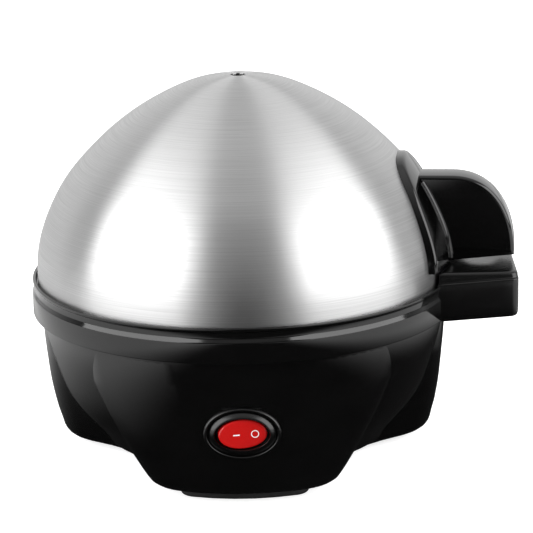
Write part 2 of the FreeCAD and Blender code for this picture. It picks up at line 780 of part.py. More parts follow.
def make_dome():
    """The pressed steel lid with its steam hole and the two holes for the handle's screws."""
    shell = dome_solid(0.0).cut(dome_solid(-size("dome_sheet")))
    over = size("cut_overrun")
    hole = Part.makeCylinder(size("steam_hole_radius"), 2 * over, Vector(0, 0, size("dome_apex") - over))
    shell = shell.cut(hole)
    for height in (size("lid_screw_low"), size("lid_screw_high")):
        shell = shell.cut(rod(Vector(0, 0, height), Vector(size("collar_radius"), 0, height),
                              size("lid_screw_radius") + size("press_gap")))
    shaped("lid_dome", shell, turned=True)


def arch(half_width, bottom, top):
    """An arch-shaped prism along X that trims the flange of the lid handle."""
    tall = top - bottom
    right = [Vector(0, half_width * across, bottom + tall * up) for across, up in ARCH_SHARES]
    left = [Vector(0, -p.y, p.z) for p in reversed(right[:-1])]
    curve = smooth_curve(right + left).toShape()
    close = Part.makeLine(left[-1], right[0])
    return Part.Face(Part.Wire([curve, close])).extrude(Vector(size("grip_reach"), 0, 0))


def make_lid_handle():
    """The handle of the lid: a flange with a thicker rim, which hugs the dome, and a rounded grip."""
    gap = size("seat_gap")
    half_width = size("flange_half_width")
    low, top = size("flange_bottom"), size("flange_top")
    flange = dome_solid(gap + size("flange_rim_sheet")).common(arch(half_width, low, top))
    rim = size("flange_rim_width")
    recess = arch(half_width - rim, low - size("cut_overrun"), top - rim)
    flange = flange.cut(recess.cut(dome_solid(gap + size("flange_sheet"))))

    half = size("grip_thickness") / 2
    inner = size("grip_inner_reach")
    bottom, high = size("grip_bottom"), size("grip_top")
    rise = size("grip_bottom_rise")
    shoulder = Vector(size("grip_shoulder_reach"), -half, high)
    tip = Vector(size("grip_reach"), -half, bottom + rise)
    share = size("grip_bulge_share")
    bulge = Vector(shoulder.x + (tip.x - shoulder.x) * share, -half, tip.z + (high - tip.z) * share)
    curve = Part.BSplineCurve()
    curve.interpolate(Points=[shoulder, bulge, tip], InitialTangent=X_AXIS, FinalTangent=Z_AXIS * -1)
    root_low = Vector(inner, -half, bottom - rise)
    root_high = Vector(inner, -half, high)
    edges = [Part.makeLine(root_low, root_high), Part.makeLine(root_high, shoulder), curve.toShape(),
             Part.makeLine(tip, root_low)]
    grip = Part.Face(Part.Wire(edges)).extrude(Vector(0, 2 * half, 0))
    far = size("grip_reach") - gap
    rims = [e for e in grip.Edges if e.BoundBox.YLength < gap and e.BoundBox.XLength > size("grip_round")]
    rims += [e for e in grip.Edges if e.BoundBox.XMin > far and e.BoundBox.YLength > half]
    grip = grip.makeFillet(size("grip_round"), rims)

    handle = flange.fuse(grip).cut(dome_solid(gap))
    reach = size("grip_reach") + size("cut_overrun")
    handle = handle.common(Part.makeBox(reach, 2 * reach, size("dome_apex"), Vector(0, -reach, 0)))
    for height in (size("lid_screw_low"), size("lid_screw_high")):
        start = Vector(inner, 0, height)
        end = Vector(lid_screw_seat(height) + size("lid_screw_length") + gap, 0, height)
        handle = handle.cut(rod(start, end, size("lid_screw_radius") + size("press_gap")))
    shaped("lid_handle", handle.removeSplitter(), turned=True)


def dome_radius_at(height, grow):
    """Radius of the grown dome outline at a height, on straight spans."""
    points = dome_points(grow)
    for low, high in zip(points, points[1:]):
        if low.z <= height <= high.z:
            return low.x + (high.x - low.x) * (height - low.z) / (high.z - low.z)
    return points[0].x


def lid_screw_seat(height):
    """Where a lid screw's head rests on the inside of the backing plate."""
    head = size("lid_screw_head_radius")
    inside = dome_radius_at(height + head, -size("dome_sheet") - size("backing_sheet") - size("clearance"))
    return math.sqrt(inside ** 2 - head ** 2) - size("clearance")


def make_lid_fixings():
    """The curved backing plate inside the dome and the two screws that hold the handle."""
    gap = size("seat_gap")
    sheet_in = size("dome_sheet") + gap
    strip = dome_solid(-sheet_in).cut(dome_solid(-sheet_in - size("backing_sheet")))
    half = size("backing_half_width")
    low = size("lid_screw_low") - size("backing_margin")
    high = size("lid_screw_high") + size("backing_margin")
    strip = strip.common(Part.makeBox(size("collar_radius"), 2 * half, high - low, Vector(0, -half, low)))
    screws = []
    for height in (size("lid_screw_low"), size("lid_screw_high")):
        seat = Vector(lid_screw_seat(height), 0, height)
        strip = strip.cut(rod(Vector(0, 0, height), Vector(size("collar_radius"), 0, height),
                              size("lid_screw_radius") + size("press_gap")))
        head = Part.makeCylinder(size("lid_screw_head_radius"), size("lid_screw_head_height"), seat,
                                 X_AXIS * -1)
        screws.append(head.fuse(Part.makeCylinder(size("lid_screw_radius"), size("lid_screw_length"), seat,
                                                  X_AXIS)))
    shaped("lid_backing_plate", strip, turned=True)
    shaped("lid_handle_screws", Part.makeCompound(screws), turned=True)


def make_rack():
    """The lift-out tray: rim on the collar's ledge, wall, floor with seven egg holes and vents."""
    rack = turned_body("egg_rack", [
        ("rack_bore_radius", "rack_floor"), ("rack_radius", "rack_floor"),
        ("rack_radius", "collar_ledge_top + clearance"),
        ("rack_flange_radius", "collar_ledge_top + clearance"),
        ("rack_flange_radius", "collar_ledge_top + clearance + rack_wall"),
        ("rack_radius - rack_wall", "collar_ledge_top + clearance + rack_wall"),
        ("rack_radius - rack_wall", "rack_floor + rack_wall"),
        ("rack_bore_radius", "rack_floor + rack_wall")])
    doc.recompute()
    round_hole_ring(rack, "egg_holes", "rack_hole_circle_radius", "rack_hole_radius",
                    int(size("rack_hole_count")), "rack_floor", "4 * rack_wall")
    doc.recompute()
    round_hole_ring(rack, "steam_holes", "rack_vent_circle_radius", "rack_vent_radius",
                    int(size("rack_vent_count")), "rack_floor", "4 * rack_wall")
    keep(rack, "egg_rack")
    keep(turned_body("rack_knob", [
        ("0", "rack_floor - knob_collar_height"), ("knob_stem_radius", "rack_floor - knob_collar_height"),
        ("knob_stem_radius", "rack_floor - seat_gap"),
        ("rack_bore_radius - press_gap", "rack_floor - seat_gap"),
        ("rack_bore_radius - press_gap", "rack_floor + rack_wall + seat_gap"),
        ("knob_collar_radius", "rack_floor + rack_wall + seat_gap"),
        ("knob_collar_radius", "rack_floor + rack_wall + knob_collar_height"),
        ("knob_stem_radius", "rack_floor + rack_wall + knob_collar_height * 2"),
        ("knob_stem_radius", "knob_top - knob_height"),
        ("knob_radius * knob_waist_share", "knob_top - knob_height * knob_waist_share"),
        ("knob_radius", "knob_top - knob_height * knob_belly_share"),
        ("knob_radius * knob_crown_share", "knob_top - knob_height + knob_height * knob_crown_share"),
        ("knob_radius * knob_belly_share", "knob_top"), ("0", "knob_top")]), "rack_knob")


def make_dish():
    """The steel water dish, its seal and the aluminium disc that spreads the heat."""
    keep(turned_body("heating_plate", [
        ("0", "dish_floor"), ("dish_well_radius - dish_slope", "dish_floor"),
        ("dish_well_radius", "dish_floor + dish_slope"), ("dish_well_radius", "housing_top + seat_gap"),
        ("dish_rim_radius", "housing_top + seat_gap"),
        ("dish_rim_radius", "housing_top + seat_gap + dish_sheet"),
        ("dish_well_radius - dish_sheet", "housing_top + seat_gap + dish_sheet"),
        ("dish_well_radius - dish_sheet", "dish_floor + dish_slope + dish_sheet / 2"),
        ("dish_well_radius - dish_slope - dish_sheet / 2", "dish_floor + dish_sheet"),
        ("0", "dish_floor + dish_sheet")]), "heating_plate")
    keep(turned_body("plate_gasket", [
        ("dish_rim_radius - gasket_width", "housing_top + dish_sheet + 2 * seat_gap"),
        ("dish_rim_radius", "housing_top + dish_sheet + 2 * seat_gap"),
        ("dish_rim_radius", "collar_ledge_top - collar_ledge - seat_gap"),
        ("dish_rim_radius - gasket_width", "collar_ledge_top - collar_ledge - seat_gap")]), "plate_gasket")
    keep(turned_body("heat_spreader", [
        ("0", "dish_floor - seat_gap - spreader_thickness"),
        ("spreader_radius", "dish_floor - seat_gap - spreader_thickness"),
        ("spreader_radius", "dish_floor - seat_gap"), ("0", "dish_floor - seat_gap")]), "heat_spreader")


def spreader_under():
    """Height of the underside of the heat spreader."""
    return size("dish_floor") - size("seat_gap") - size("spreader_thickness")


def element_height():
    """Height of the centre of the heating element's tube."""
    return spreader_under() - size("seat_gap") - size("element_radius")


def element_legs():
    """The two places where the element turns down, at the back."""
    half = math.radians(size("element_gap_angle") / 2)
    reach = size("element_circle_radius")
    return [Vector(side * reach * math.sin(half), reach * math.cos(half),
                   element_height()) for side in (-1, 1)]


def make_element():
    """The sheathed element: most of a circle, two legs down, then a bead and a pin on each."""
    gap = size("element_gap_angle")
    thick = size("element_radius")
    circle = Part.makeTorus(size("element_circle_radius"), thick, Vector(), Z_AXIS, -180, 180, 360 - gap)
    circle.rotate(Vector(), Z_AXIS, 90 + gap / 2)
    circle.translate(Vector(0, 0, element_height()))
    beads, pins = [], []
    leg_end = element_height() - size("element_leg")
    bead_end = leg_end - size("seat_gap") - size("element_bead_length")
    for top in element_legs():
        circle = circle.fuse(Part.makeSphere(thick, top))
        circle = circle.fuse(Part.makeCylinder(thick, size("element_leg"), Vector(top.x, top.y, leg_end)))
        bead = Part.makeCylinder(size("element_bead_radius"), size("element_bead_length"),
                                 Vector(top.x, top.y, bead_end))
        pin_start = Vector(top.x, top.y, bead_end - size("element_pin_length"))
        pin = Part.makeCylinder(size("element_pin_radius"), leg_end - size("seat_gap") - pin_start.z,
                                pin_start)
        beads.append(bead.cut(Part.makeCylinder(size("element_pin_radius") + size("press_gap"),
                                                size("element_bead_length"),
                                                Vector(top.x, top.y, bead_end))))
        pins.append(pin)
    shaped("heating_element", circle)
    shaped("element_insulators", Part.makeCompound(beads))
    shaped("element_pins", Part.makeCompound(pins))


def make_clamp():
    """The bar under the element, the stud through it, its two nuts and the reflector pan."""
    top = element_height() - size("element_radius") - size("seat_gap")
    thick = size("clamp_sheet")
    length = 2 * (size("element_circle_radius") + size("clamp_overhang"))
    hole = size("stud_radius") + size("clearance")
    wide = size("clamp_width")
    bar = Part.makeBox(length, wide, thick, Vector(-length / 2, -wide / 2, top - thick))
    bar = bar.cut(Part.makeCylinder(hole, 2 * thick, Vector(0, 0, top - 2 * thick)))
    bar.rotate(Vector(), Z_AXIS, BETWEEN_FEET)
    shaped("element_clamp", bar)

    bottom = size("stud_bottom")
    stud = Part.makeCylinder(size("stud_radius"), spreader_under() - size("seat_gap") - bottom,
                             Vector(0, 0, bottom))
    shaped("centre_stud", stud)
    shaped("clamp_nut", hex_nut(top - thick - size("seat_gap") - size("nut_height")))

    low = size("shield_height")
    sheet_mm = size("shield_sheet")
    wide = size("shield_radius")
    corners = [(hole, low), (wide - sheet_mm, low), (wide, low + size("shield_rim")),
               (wide - sheet_mm, low + size("shield_rim")), (wide - 2 * sheet_mm, low + sheet_mm),
               (hole, low + sheet_mm)]
    loop = [Vector(across, 0, up) for across, up in corners]
    shaped("heat_shield", Part.Face(Part.makePolygon(loop + loop[:1])).revolve(Vector(), Z_AXIS, 360))
    nuts = [hex_nut(low - size("seat_gap") - size("nut_height")),
            hex_nut(low + sheet_mm + size("seat_gap"))]
    shaped("shield_nuts", Part.makeCompound(nuts))


def hex_nut(bottom):
    """A nut on the centre stud with its lower face at a height."""
    across = size("nut_flats") / math.sqrt(3)
    turns = [math.tau * i / 6 for i in range(7)]
    corners = [Vector(across * math.cos(turn), across * math.sin(turn), bottom) for turn in turns]
    nut = Part.Face(Part.makePolygon(corners)).extrude(Vector(0, 0, size("nut_height")))
    return nut.cut(Part.makeCylinder(size("stud_radius") + size("press_gap"), size("nut_height"),
                                     Vector(0, 0, bottom)))


def make_thermostat():
    """The boil-dry cut-out under the spreader with its bracket and its two blades."""
    top = spreader_under() - size("seat_gap")
    place = Vector(-size("thermostat_place"), 0, 0)
    cap_low = top - size("thermostat_cap_height")
    body_low = cap_low - size("thermostat_body_height")
    body = Part.makeCylinder(size("thermostat_radius"), size("thermostat_cap_height"),
                             place + Vector(0, 0, cap_low))
    body = body.fuse(Part.makeCylinder(size("thermostat_radius") - size("blade_sheet"),
                                       size("thermostat_body_height"),
                                       place + Vector(0, 0, body_low)))
    wide = size("thermostat_blade_width")
    for side in (-1, 1):
        blade = Part.makeBox(wide, size("blade_sheet"),
                             size("thermostat_blade_length") + size("blade_sheet"))
        blade_y = side * size("thermostat_blade_pitch") / 2 - size("blade_sheet") / 2
        blade.translate(place + Vector(-wide / 2, blade_y, body_low - size("thermostat_blade_length")))
        body = body.fuse(blade)
    shaped("thermostat", body.removeSplitter())

    low = cap_low - size("seat_gap") - size("bracket_sheet")
    strap = Part.makeBox(size("bracket_width"), size("bracket_length"), size("bracket_sheet"))
    strap.translate(place + Vector(-size("bracket_width") / 2, -size("bracket_length") / 2, low))
    wings = Part.makeCylinder(size("thermostat_radius") + size("blade_sheet"), size("bracket_sheet"),
                              place + Vector(0, 0, low))
    bore = Part.makeCylinder(size("thermostat_radius") - size("blade_sheet") + size("press_gap"),
                             size("bracket_sheet"), place + Vector(0, 0, low))
    strap = strap.fuse(wings).cut(bore)
    reach = size("bracket_length") / 2 - size("screw_radius")
    screws = []
    for side in (-1, 1):
        foot = place + Vector(0, side * reach, low + size("bracket_sheet"))
        post = Part.makeCylinder(size("screw_radius"), top - foot.z, foot)
        head = Part.makeCylinder(size("screw_head_radius") - size("blade_sheet"), size("bracket_sheet"),
                                 place + Vector(0, side * reach,
                                                low - size("bracket_sheet") - size("seat_gap")))
        screws.append(head.fuse(Part.makeCylinder(size("screw_radius") - size("clearance"),
                                                  top - head.BoundBox.ZMin,
                                                  Vector(foot.x, foot.y, head.BoundBox.ZMin))))
        strap = strap.fuse(post.cut(Part.makeCylinder(size("screw_radius") - size("clearance")
                                                      + size("press_gap"),
                                                      top - low, Vector(foot.x, foot.y, low))))
        strap = strap.cut(Part.makeCylinder(size("screw_radius") - size("clearance") + size("press_gap"),
                                            top - low, Vector(foot.x, foot.y, low)))
    shaped("thermostat_bracket", strap.removeSplitter())
    shaped("bracket_screws", Part.makeCompound(screws))


def make_fuse():
    """The one-shot thermal fuse in its glass-fibre sleeve, held up by a small clip."""
    top = spreader_under() - size("seat_gap")
    centre = Vector(size("fuse_place"), 0, top - size("sleeve_radius") - size("seat_gap"))
    along = Vector(math.sin(math.radians(BETWEEN_FEET)), -math.cos(math.radians(BETWEEN_FEET)), 0)
    along = Vector(-along.y, along.x, 0)
    gap = size("press_gap")

    def tube(length, radius):
        return Part.makeCylinder(radius, length, centre - along * (length / 2), along)

    fuse = tube(size("fuse_length"), size("fuse_radius"))
    fuse = fuse.fuse(tube(size("sleeve_length") + 2 * size("fuse_lead_length"), size("fuse_lead_radius")))
    shaped("thermal_fuse", fuse)
    sleeve = tube(size("sleeve_length"), size("sleeve_radius"))
    shaped("fuse_sleeve", sleeve.cut(tube(size("sleeve_length"), size("fuse_radius") + gap)))

    wide = size("clip_width")
    inner = size("sleeve_radius") + gap
    outer = inner + size("clip_sheet")
    reach = outer + size("clip_foot")
    strap = Part.makeCylinder(outer, wide, Vector(-wide / 2, 0, 0), X_AXIS)
    walls = Part.makeBox(wide, 2 * outer, top - centre.z, Vector(-wide / 2, -outer, 0))
    feet = Part.makeBox(wide, 2 * reach, size("clip_sheet"),
                        Vector(-wide / 2, -reach, top - centre.z - size("clip_sheet")))
    room = Part.makeCylinder(inner, 2 * wide, Vector(-wide, 0, 0), X_AXIS)
    room = room.fuse(Part.makeBox(2 * wide, 2 * inner, top - centre.z, Vector(-wide, -inner, 0)))
    above = Part.makeBox(2 * wide, 2 * reach, outer, Vector(-wide, -reach, top - centre.z))
    clip = strap.fuse(walls).fuse(feet).cut(room).cut(above)
    clip.rotate(Vector(), Z_AXIS, math.degrees(math.atan2(along.y, along.x)))
    clip.translate(centre)
    shaped("fuse_clip", clip.removeSplitter())

    lead_end = size("sleeve_length") / 2 + size("fuse_lead_length")
    crimps = []
    wire_starts = []
    for direction in (along, along * -1):
        start = centre + direction * (lead_end - size("fuse_crimp_length") / 2)
        crimp = Part.makeCylinder(size("fuse_crimp_radius"), size("fuse_crimp_length"), start, direction)
        crimp = crimp.cut(Part.makeCylinder(size("fuse_lead_radius") + gap, size("fuse_crimp_length") / 2,
                                            start, direction))
        crimps.append(crimp)
        wire_starts.append((start + direction * (size("fuse_crimp_length") + size("seat_gap")), direction))
    shaped("fuse_crimps", Part.makeCompound(crimps))
    return wire_starts


def make_earth():
    """The earth tab under the spreader's rim and the screw that holds it."""
    top = spreader_under() - size("seat_gap")
    place = Vector(size("earth_place") * math.cos(math.radians(BETWEEN_FEET / 2)),
                   size("earth_place") * math.sin(math.radians(BETWEEN_FEET / 2)), 0)
    sheet_mm = size("blade_sheet")
    wide = size("earth_tab_width")
    tab = Part.makeBox(wide, wide, sheet_mm, Vector(place.x - wide / 2, place.y - wide / 2, top - sheet_mm))
    drop = Part.makeBox(sheet_mm, wide, size("earth_tab_length"),
                        Vector(place.x + wide / 2 - sheet_mm, place.y - wide / 2,
                               top - size("earth_tab_length")))
    hole = Part.makeCylinder(size("collar_pilot_radius") + size("press_gap"), sheet_mm,
                             Vector(place.x, place.y, top - sheet_mm))
    shaped("earth_tab", tab.fuse(drop).cut(hole).removeSplitter())
    head_top = top - sheet_mm - size("seat_gap")
    head = Part.makeCylinder(wide / 3, size("bracket_sheet"),
                             Vector(place.x, place.y, head_top - size("bracket_sheet")))
    shaped("earth_screw",
           head.fuse(Part.makeCylinder(size("collar_pilot_radius"), top - head_top,
                                       Vector(place.x, place.y, head_top))))
    tall = size("receptacle_height")
    long = size("receptacle_length")
    blade_x = place.x + wide / 2 - sheet_mm / 2
    low = top - size("earth_tab_length") - size("receptacle_height")
    cap = Part.makeBox(tall, size("receptacle_width") + sheet_mm, long - sheet_mm,
                       Vector(blade_x - tall / 2, place.y - (size("receptacle_width") + sheet_mm) / 2, low))
    gap = size("press_gap")
    slot = Part.makeBox(sheet_mm + 2 * gap, wide + 2 * gap, long,
                        Vector(blade_x - sheet_mm / 2 - gap, place.y - wide / 2 - gap,
                               top - size("earth_tab_length") - gap))
    shaped("earth_receptacle", cap.cut(slot))
    return Vector(blade_x, place.y, low - size("seat_gap"))


def make_switch():
    """The oval rocker switch: body, bezel, rocker on its pins, contacts and lamp."""
    z = size("switch_height")
    gap = size("seat_gap")
    clear = size("rocker_clearance")
    wide, tall = size("rocker_half_width"), size("rocker_half_height")
    body = oval(size("switch_body_half_width"), size("switch_body_half_height"), -gap,
                -size("switch_body_depth"))
    wall = size("switch_body_wall")
    room = oval(size("switch_body_half_width") - wall, tall + size("rocker_slot_clearance"), 0.0,
                -size("switch_body_depth") + wall)
    pivot = Vector(0, FACET_Y + size("rocker_pivot_depth"), z)
    reach = tall + size("rocker_slot_clearance") + size("rocker_pin_length")
    bore_radius = size("rocker_pin_radius") + size("pin_clearance")
    bore = rod(pivot - Z_AXIS * reach, pivot + Z_AXIS * reach, bore_radius)
    body = body.cut(room).cut(bore)
    contacts = []
    blade = size("blade_sheet")
    back = FACET_Y + size("switch_body_depth")
    for index in (-1, 0, 1):
        x = index * size("contact_pitch")
        contact = Part.makeBox(blade, size("contact_length") + wall, size("contact_width"),
                               Vector(x - blade / 2, back - wall, z - size("contact_width") / 2))
        slot = Part.makeBox(blade + 2 * size("press_gap"), 2 * wall, size("contact_width")
                            + 2 * size("press_gap"),
                            Vector(x - blade / 2 - size("press_gap"), back - 3 * wall / 2,
                                   z - size("contact_width") / 2 - size("press_gap")))
        body = body.cut(slot)
        contacts.append(contact)
    shaped("switch_housing", body)
    shaped("switch_contacts", Part.makeCompound(contacts))

    thick = size("bezel_thickness")
    bezel = oval(size("bezel_half_width"), size("bezel_half_height"), thick, gap)
    low_edge = [e for e in bezel.Edges if e.BoundBox.YMax < FACET_Y - thick + gap]
    bezel = bezel.makeFillet(size("bezel_groove"), low_edge)
    inner_w, inner_h = size("bezel_inner_half_width"), size("bezel_inner_half_height")
    groove = oval(inner_w + size("bezel_groove") / 2, inner_h + size("bezel_groove") / 2, thick + gap,
                  thick - size("bezel_groove") / 2)
    groove = groove.cut(oval(inner_w, inner_h, thick + 2 * gap, 0.0))
    mouth_w, mouth_h = wide + clear, tall + size("rocker_slot_clearance")
    mouth = oval(mouth_w, mouth_h, thick + gap, -gap)
    rim_w, rim_h = inner_w - size("bezel_groove"), inner_h - size("bezel_groove")
    funnel = Part.makeLoft([oval_ring(mouth_w, mouth_h, thick - size("bezel_dip")),
                            oval_ring(rim_w, rim_h, thick + gap)], True, True)
    shaped("switch_bezel", bezel.cut(groove).cut(mouth).cut(funnel))

    front, behind = size("rocker_front"), size("rocker_back")
    rocker = oval(wide, tall, front, -behind)
    crown_radius = (wide ** 2 + size("rocker_dip") ** 2) / (2 * size("rocker_dip"))
    scoop = Part.makeCylinder(crown_radius, 4 * tall)
    scoop.translate(Vector(0, FACET_Y - front - crown_radius + size("rocker_dip"), z - 2 * tall))
    rocker = rocker.cut(scoop)
    hull = size("rocker_pivot_depth") + behind
    keel = math.hypot(size("rocker_half_width") / 2, behind - size("rocker_pivot_depth"))
    round_back = Part.makeCylinder(keel, 4 * tall, pivot - Z_AXIS * (2 * tall))
    upper = Part.makeBox(4 * wide, hull + front, 4 * tall)
    upper.translate(Vector(-2 * wide, FACET_Y - hull - front + size("rocker_pivot_depth"), z - 2 * tall))
    rocker = rocker.common(round_back.fuse(upper))
    pin_reach = reach - size("clearance")
    rocker = rocker.fuse(rod(pivot - Z_AXIS * pin_reach, pivot + Z_AXIS * pin_reach,
                             size("rocker_pin_radius")))
    rocker.rotate(pivot, Z_AXIS, size("rocker_rest_angle"))
    shaped("switch_rocker", rocker)

    lamp_y = FACET_Y + size("lamp_depth")
    shaped("switch_lamp", rod(Vector(0, lamp_y, z) - Z_AXIS * (size("lamp_length") / 2),
                              Vector(0, lamp_y, z) + Z_AXIS * (size("lamp_length") / 2),
                              size("lamp_radius")))
    return [Vector(i * size("contact_pitch"), back + size("contact_length"), z) for i in (-1, 0, 1)]


def make_cord_entry():
    """The gland in the back wall and the clamp and terminal block behind it."""
    z = size("gland_height")
    axis = Vector(0, 0, z)
    outer_y = size("gland_pad_reach") + size("seat_gap")
    gland = rod(axis + Vector(0, outer_y, 0), axis + Vector(0, outer_y + size("gland_flange"), 0),
                size("gland_flange_radius"))
    gland = gland.fuse(rod(axis + Vector(0, outer_y - size("gland_length"), 0),
                           axis + Vector(0, outer_y, 0),
                           size("gland_neck_radius")))
    gland = gland.cut(rod(axis, axis + Vector(0, 2 * outer_y, 0), size("gland_bore_radius")))
    shaped("cord_gland", gland)

    block_y = size("terminal_block_place")
    floor = size("bowl_bottom") + size("housing_wall") + size("seat_gap")
    width, depth = size("terminal_block_width"), size("terminal_block_depth")
    tall = size("terminal_block_height")
    block = Part.makeBox(width, depth, tall, Vector(-width / 2, block_y - depth / 2, floor))
    inserts, screws, ends = [], [], []
    bore = size("terminal_bore_radius")
    gap = size("press_gap")
    for index in (-1, 0, 1):
        front = Vector(index * width / 3, block_y - depth / 2, floor + tall / 2)
        back_end = front + Vector(0, depth, 0)
        above = Vector(front.x, block_y, floor + tall)
        hole = rod(above - Z_AXIS * (tall / 2), above + Z_AXIS * gap, size("terminal_screw_radius") + gap)
        block = block.cut(rod(front, back_end, bore)).cut(hole)
        insert = rod(front + Y_AXIS * gap, back_end - Y_AXIS * gap, bore - gap)
        insert = insert.cut(rod(front, back_end, size("wire_radius") + gap)).cut(hole)
        inserts.append(insert)
        screws.append(rod(above - Z_AXIS * (tall / 2 - size("wire_radius") - 2 * gap),
                          above - Z_AXIS * (2 * bore / 3),
                          size("terminal_screw_radius")))
        ends.append(front - Y_AXIS * size("seat_gap"))
    shaped("terminal_block", block)
    shaped("terminal_inserts", Part.makeCompound(inserts))
    shaped("terminal_screws", Part.makeCompound(screws))
    return ends


def wire_tube(label, points, radius):
    """A wire as straight runs joined by tangent arcs, each as large as its runs allow."""
    edges = []
    here = points[0]
    for before, at, after in zip(points, points[1:], points[2:]):
        back_dir = (before - at).normalize()
        next_dir = (after - at).normalize()
        turn = math.pi - back_dir.getAngle(next_dir)
        trim = size("wire_bend_share") * min((before - at).Length, (after - at).Length)
        bend = trim / math.tan(turn / 2)
        middle_dir = (back_dir + next_dir).normalize()
        centre = at + middle_dir * (bend / math.cos(turn / 2))
        start, end = at + back_dir * trim, at + next_dir * trim
        edges.append(Part.makeLine(here, start))
        edges.append(Part.Arc(start, centre - middle_dir * bend, end).toShape())
        here = end
    edges.append(Part.makeLine(here, points[-1]))
    path = Part.Wire(edges)
    ring = Part.Wire(Part.makeCircle(radius, points[0], points[1] - points[0]))
    shaped(label, path.makePipeShell([ring], True, False))


def thermostat_blades():
    """The lower ends of the thermostat's two blades, front one first."""
    low = spreader_under() - size("seat_gap") - size("thermostat_cap_height")
    low -= size("thermostat_body_height") + size("thermostat_blade_length")
    half = size("thermostat_blade_pitch") / 2
    return [Vector(-size("thermostat_place"), side * half, low) for side in (-1, 1)]


def make_receptacles(contacts):
    """Push-on connectors for the switch, the thermostat and the element's pins, with wire places."""
    long = size("receptacle_length")
    wide = size("receptacle_width")
    tall = size("receptacle_height")
    gap = size("press_gap")
    blade = size("blade_sheet")
    ends = {}
    caps = []
    for name, contact in (("switch_left", contacts[0]), ("switch_right", contacts[2])):
        start = contact - Y_AXIS * (size("contact_length") / 2)
        cap = Part.makeBox(tall, long, wide, start + Vector(-tall / 2, 0, -wide / 2))
        slot = Part.makeBox(blade + 2 * gap, size("contact_length"), size("contact_width") + 2 * gap)
        slot.translate(contact + Vector(-blade / 2 - gap, gap - size("contact_length"),
                                        -size("contact_width") / 2 - gap))
        caps.append(cap.cut(slot))
        ends[name] = start + Y_AXIS * (long + size("seat_gap"))
    shaped("switch_receptacles", Part.makeCompound(caps))

    caps = []
    flag = size("flag_height")
    wide = size("thermostat_blade_width") + 2 * blade
    for name, side, low in (("thermostat_front", -1, thermostat_blades()[0]),
                            ("thermostat_back", 1, thermostat_blades()[1])):
        bottom = low.z - tall
        cap = Part.makeBox(wide, tall, flag, Vector(low.x - wide / 2, low.y - tall / 2, bottom))
        slot = Part.makeBox(size("thermostat_blade_width") + 2 * gap, blade + 2 * gap, flag)
        slot.translate(Vector(low.x - size("thermostat_blade_width") / 2 - gap, low.y - blade / 2 - gap,
                              low.z - gap))
        caps.append(cap.cut(slot))
        ends[name] = Vector(low.x + side * (wide / 2 + size("seat_gap")), low.y, bottom + tall / 2)
    shaped("thermostat_receptacles", Part.makeCompound(caps))

    caps = []
    wide = size("pin_receptacle_width")
    high = size("pin_receptacle_height")
    for name, side, leg in (("pin_left", -1, element_legs()[0]), ("pin_right", 1, element_legs()[1])):
        bottom = element_height() - size("element_leg") - size("seat_gap") - size("element_bead_length")
        bottom -= size("element_pin_length") + 2 * gap
        cap = Part.makeBox(wide, wide, high, Vector(leg.x - wide / 2, leg.y - wide / 2, bottom))
        cap = cap.cut(Part.makeCylinder(size("element_pin_radius") + gap, high,
                                        Vector(leg.x, leg.y, bottom + gap)))
        caps.append(cap)
        ends[name] = Vector(leg.x + side * (wide / 2 + size("seat_gap")), leg.y, bottom + high / 2)
    shaped("pin_receptacles", Part.makeCompound(caps))
    return ends


def make_wiring(ends, fuse_ends, earth_end, block_ends):
    """The six wires, each by its corner points as shares of the room under the heat spreader."""
    room = size("spreader_radius")
    thick = size("wire_radius")
    out = size("receptacle_length")
    wires = {name: [Vector(x * room, y * room, z * spreader_under()) for x, y, z in route]
             for name, route in WIRE_SHARES.items()}
    left, middle, right = block_ends
    lead = out * size("wire_lead_share")
    short = out * size("wire_short_lead_share")
    inward = Vector(0, -out, 0)
    far_inward = inward * size("wire_long_lead_share")
    switch_in = Vector(0, out, 0)
    wire_tube("wire_live", [right, right + inward] + wires["wire_live"]
              + [ends["switch_right"] + switch_in, ends["switch_right"]], thick)
    wire_tube("wire_switched", [ends["switch_left"], ends["switch_left"] + switch_in]
              + wires["wire_switched"]
              + [ends["thermostat_front"] - X_AXIS * out, ends["thermostat_front"]], thick)
    start, direction = fuse_ends[1]
    wire_tube("wire_fuse", [ends["thermostat_back"], ends["thermostat_back"] + X_AXIS * lead]
              + wires["wire_fuse"]
              + [start + direction * out, start], thick)
    start, direction = fuse_ends[0]
    wire_tube("wire_element", [start, start + direction * short] + wires["wire_element"]
              + [ends["pin_right"] + X_AXIS * out, ends["pin_right"]], thick)
    wire_tube("wire_neutral", [ends["pin_left"], ends["pin_left"] - X_AXIS * lead] + wires["wire_neutral"]
              + [left + far_inward, left], thick)
    wire_tube("wire_earth", [earth_end, earth_end - Z_AXIS * lead] + wires["wire_earth"]
              + [middle + far_inward, middle], thick)


# Corner points between the ends of each wire. The first two numbers are shares of the heat
# spreader's radius and the third is a share of the height of its underside.
WIRE_SHARES = {
    "wire_live": [(0.58, 0.41, 0.356), (0.76, -0.14, 0.441), (0.58, -0.61, 0.600)],
    "wire_switched": [(-0.36, -0.47, 0.637), (-0.62, -0.30, 0.637)],
    "wire_fuse": [(-0.13, -0.20, 0.698), (-0.03, -0.44, 0.760)],
    "wire_element": [(0.585, 0.37, 0.747)],
    "wire_neutral": [(-0.44, 0.54, 0.380)],
    "wire_earth": [(0.64, 0.54, 0.4325), (0.20, 0.475, 0.4325)],
}

make_housing()
make_feet()
make_bottom_cover()
make_collar()
make_dome()
make_lid_handle()
make_lid_fixings()
make_rack()
make_dish()
make_element()
make_clamp()
make_thermostat()
fuse_ends = make_fuse()
earth_end = make_earth()
receptacle_ends = make_receptacles(make_switch())
make_wiring(receptacle_ends, fuse_ends, earth_end, make_cord_entry())

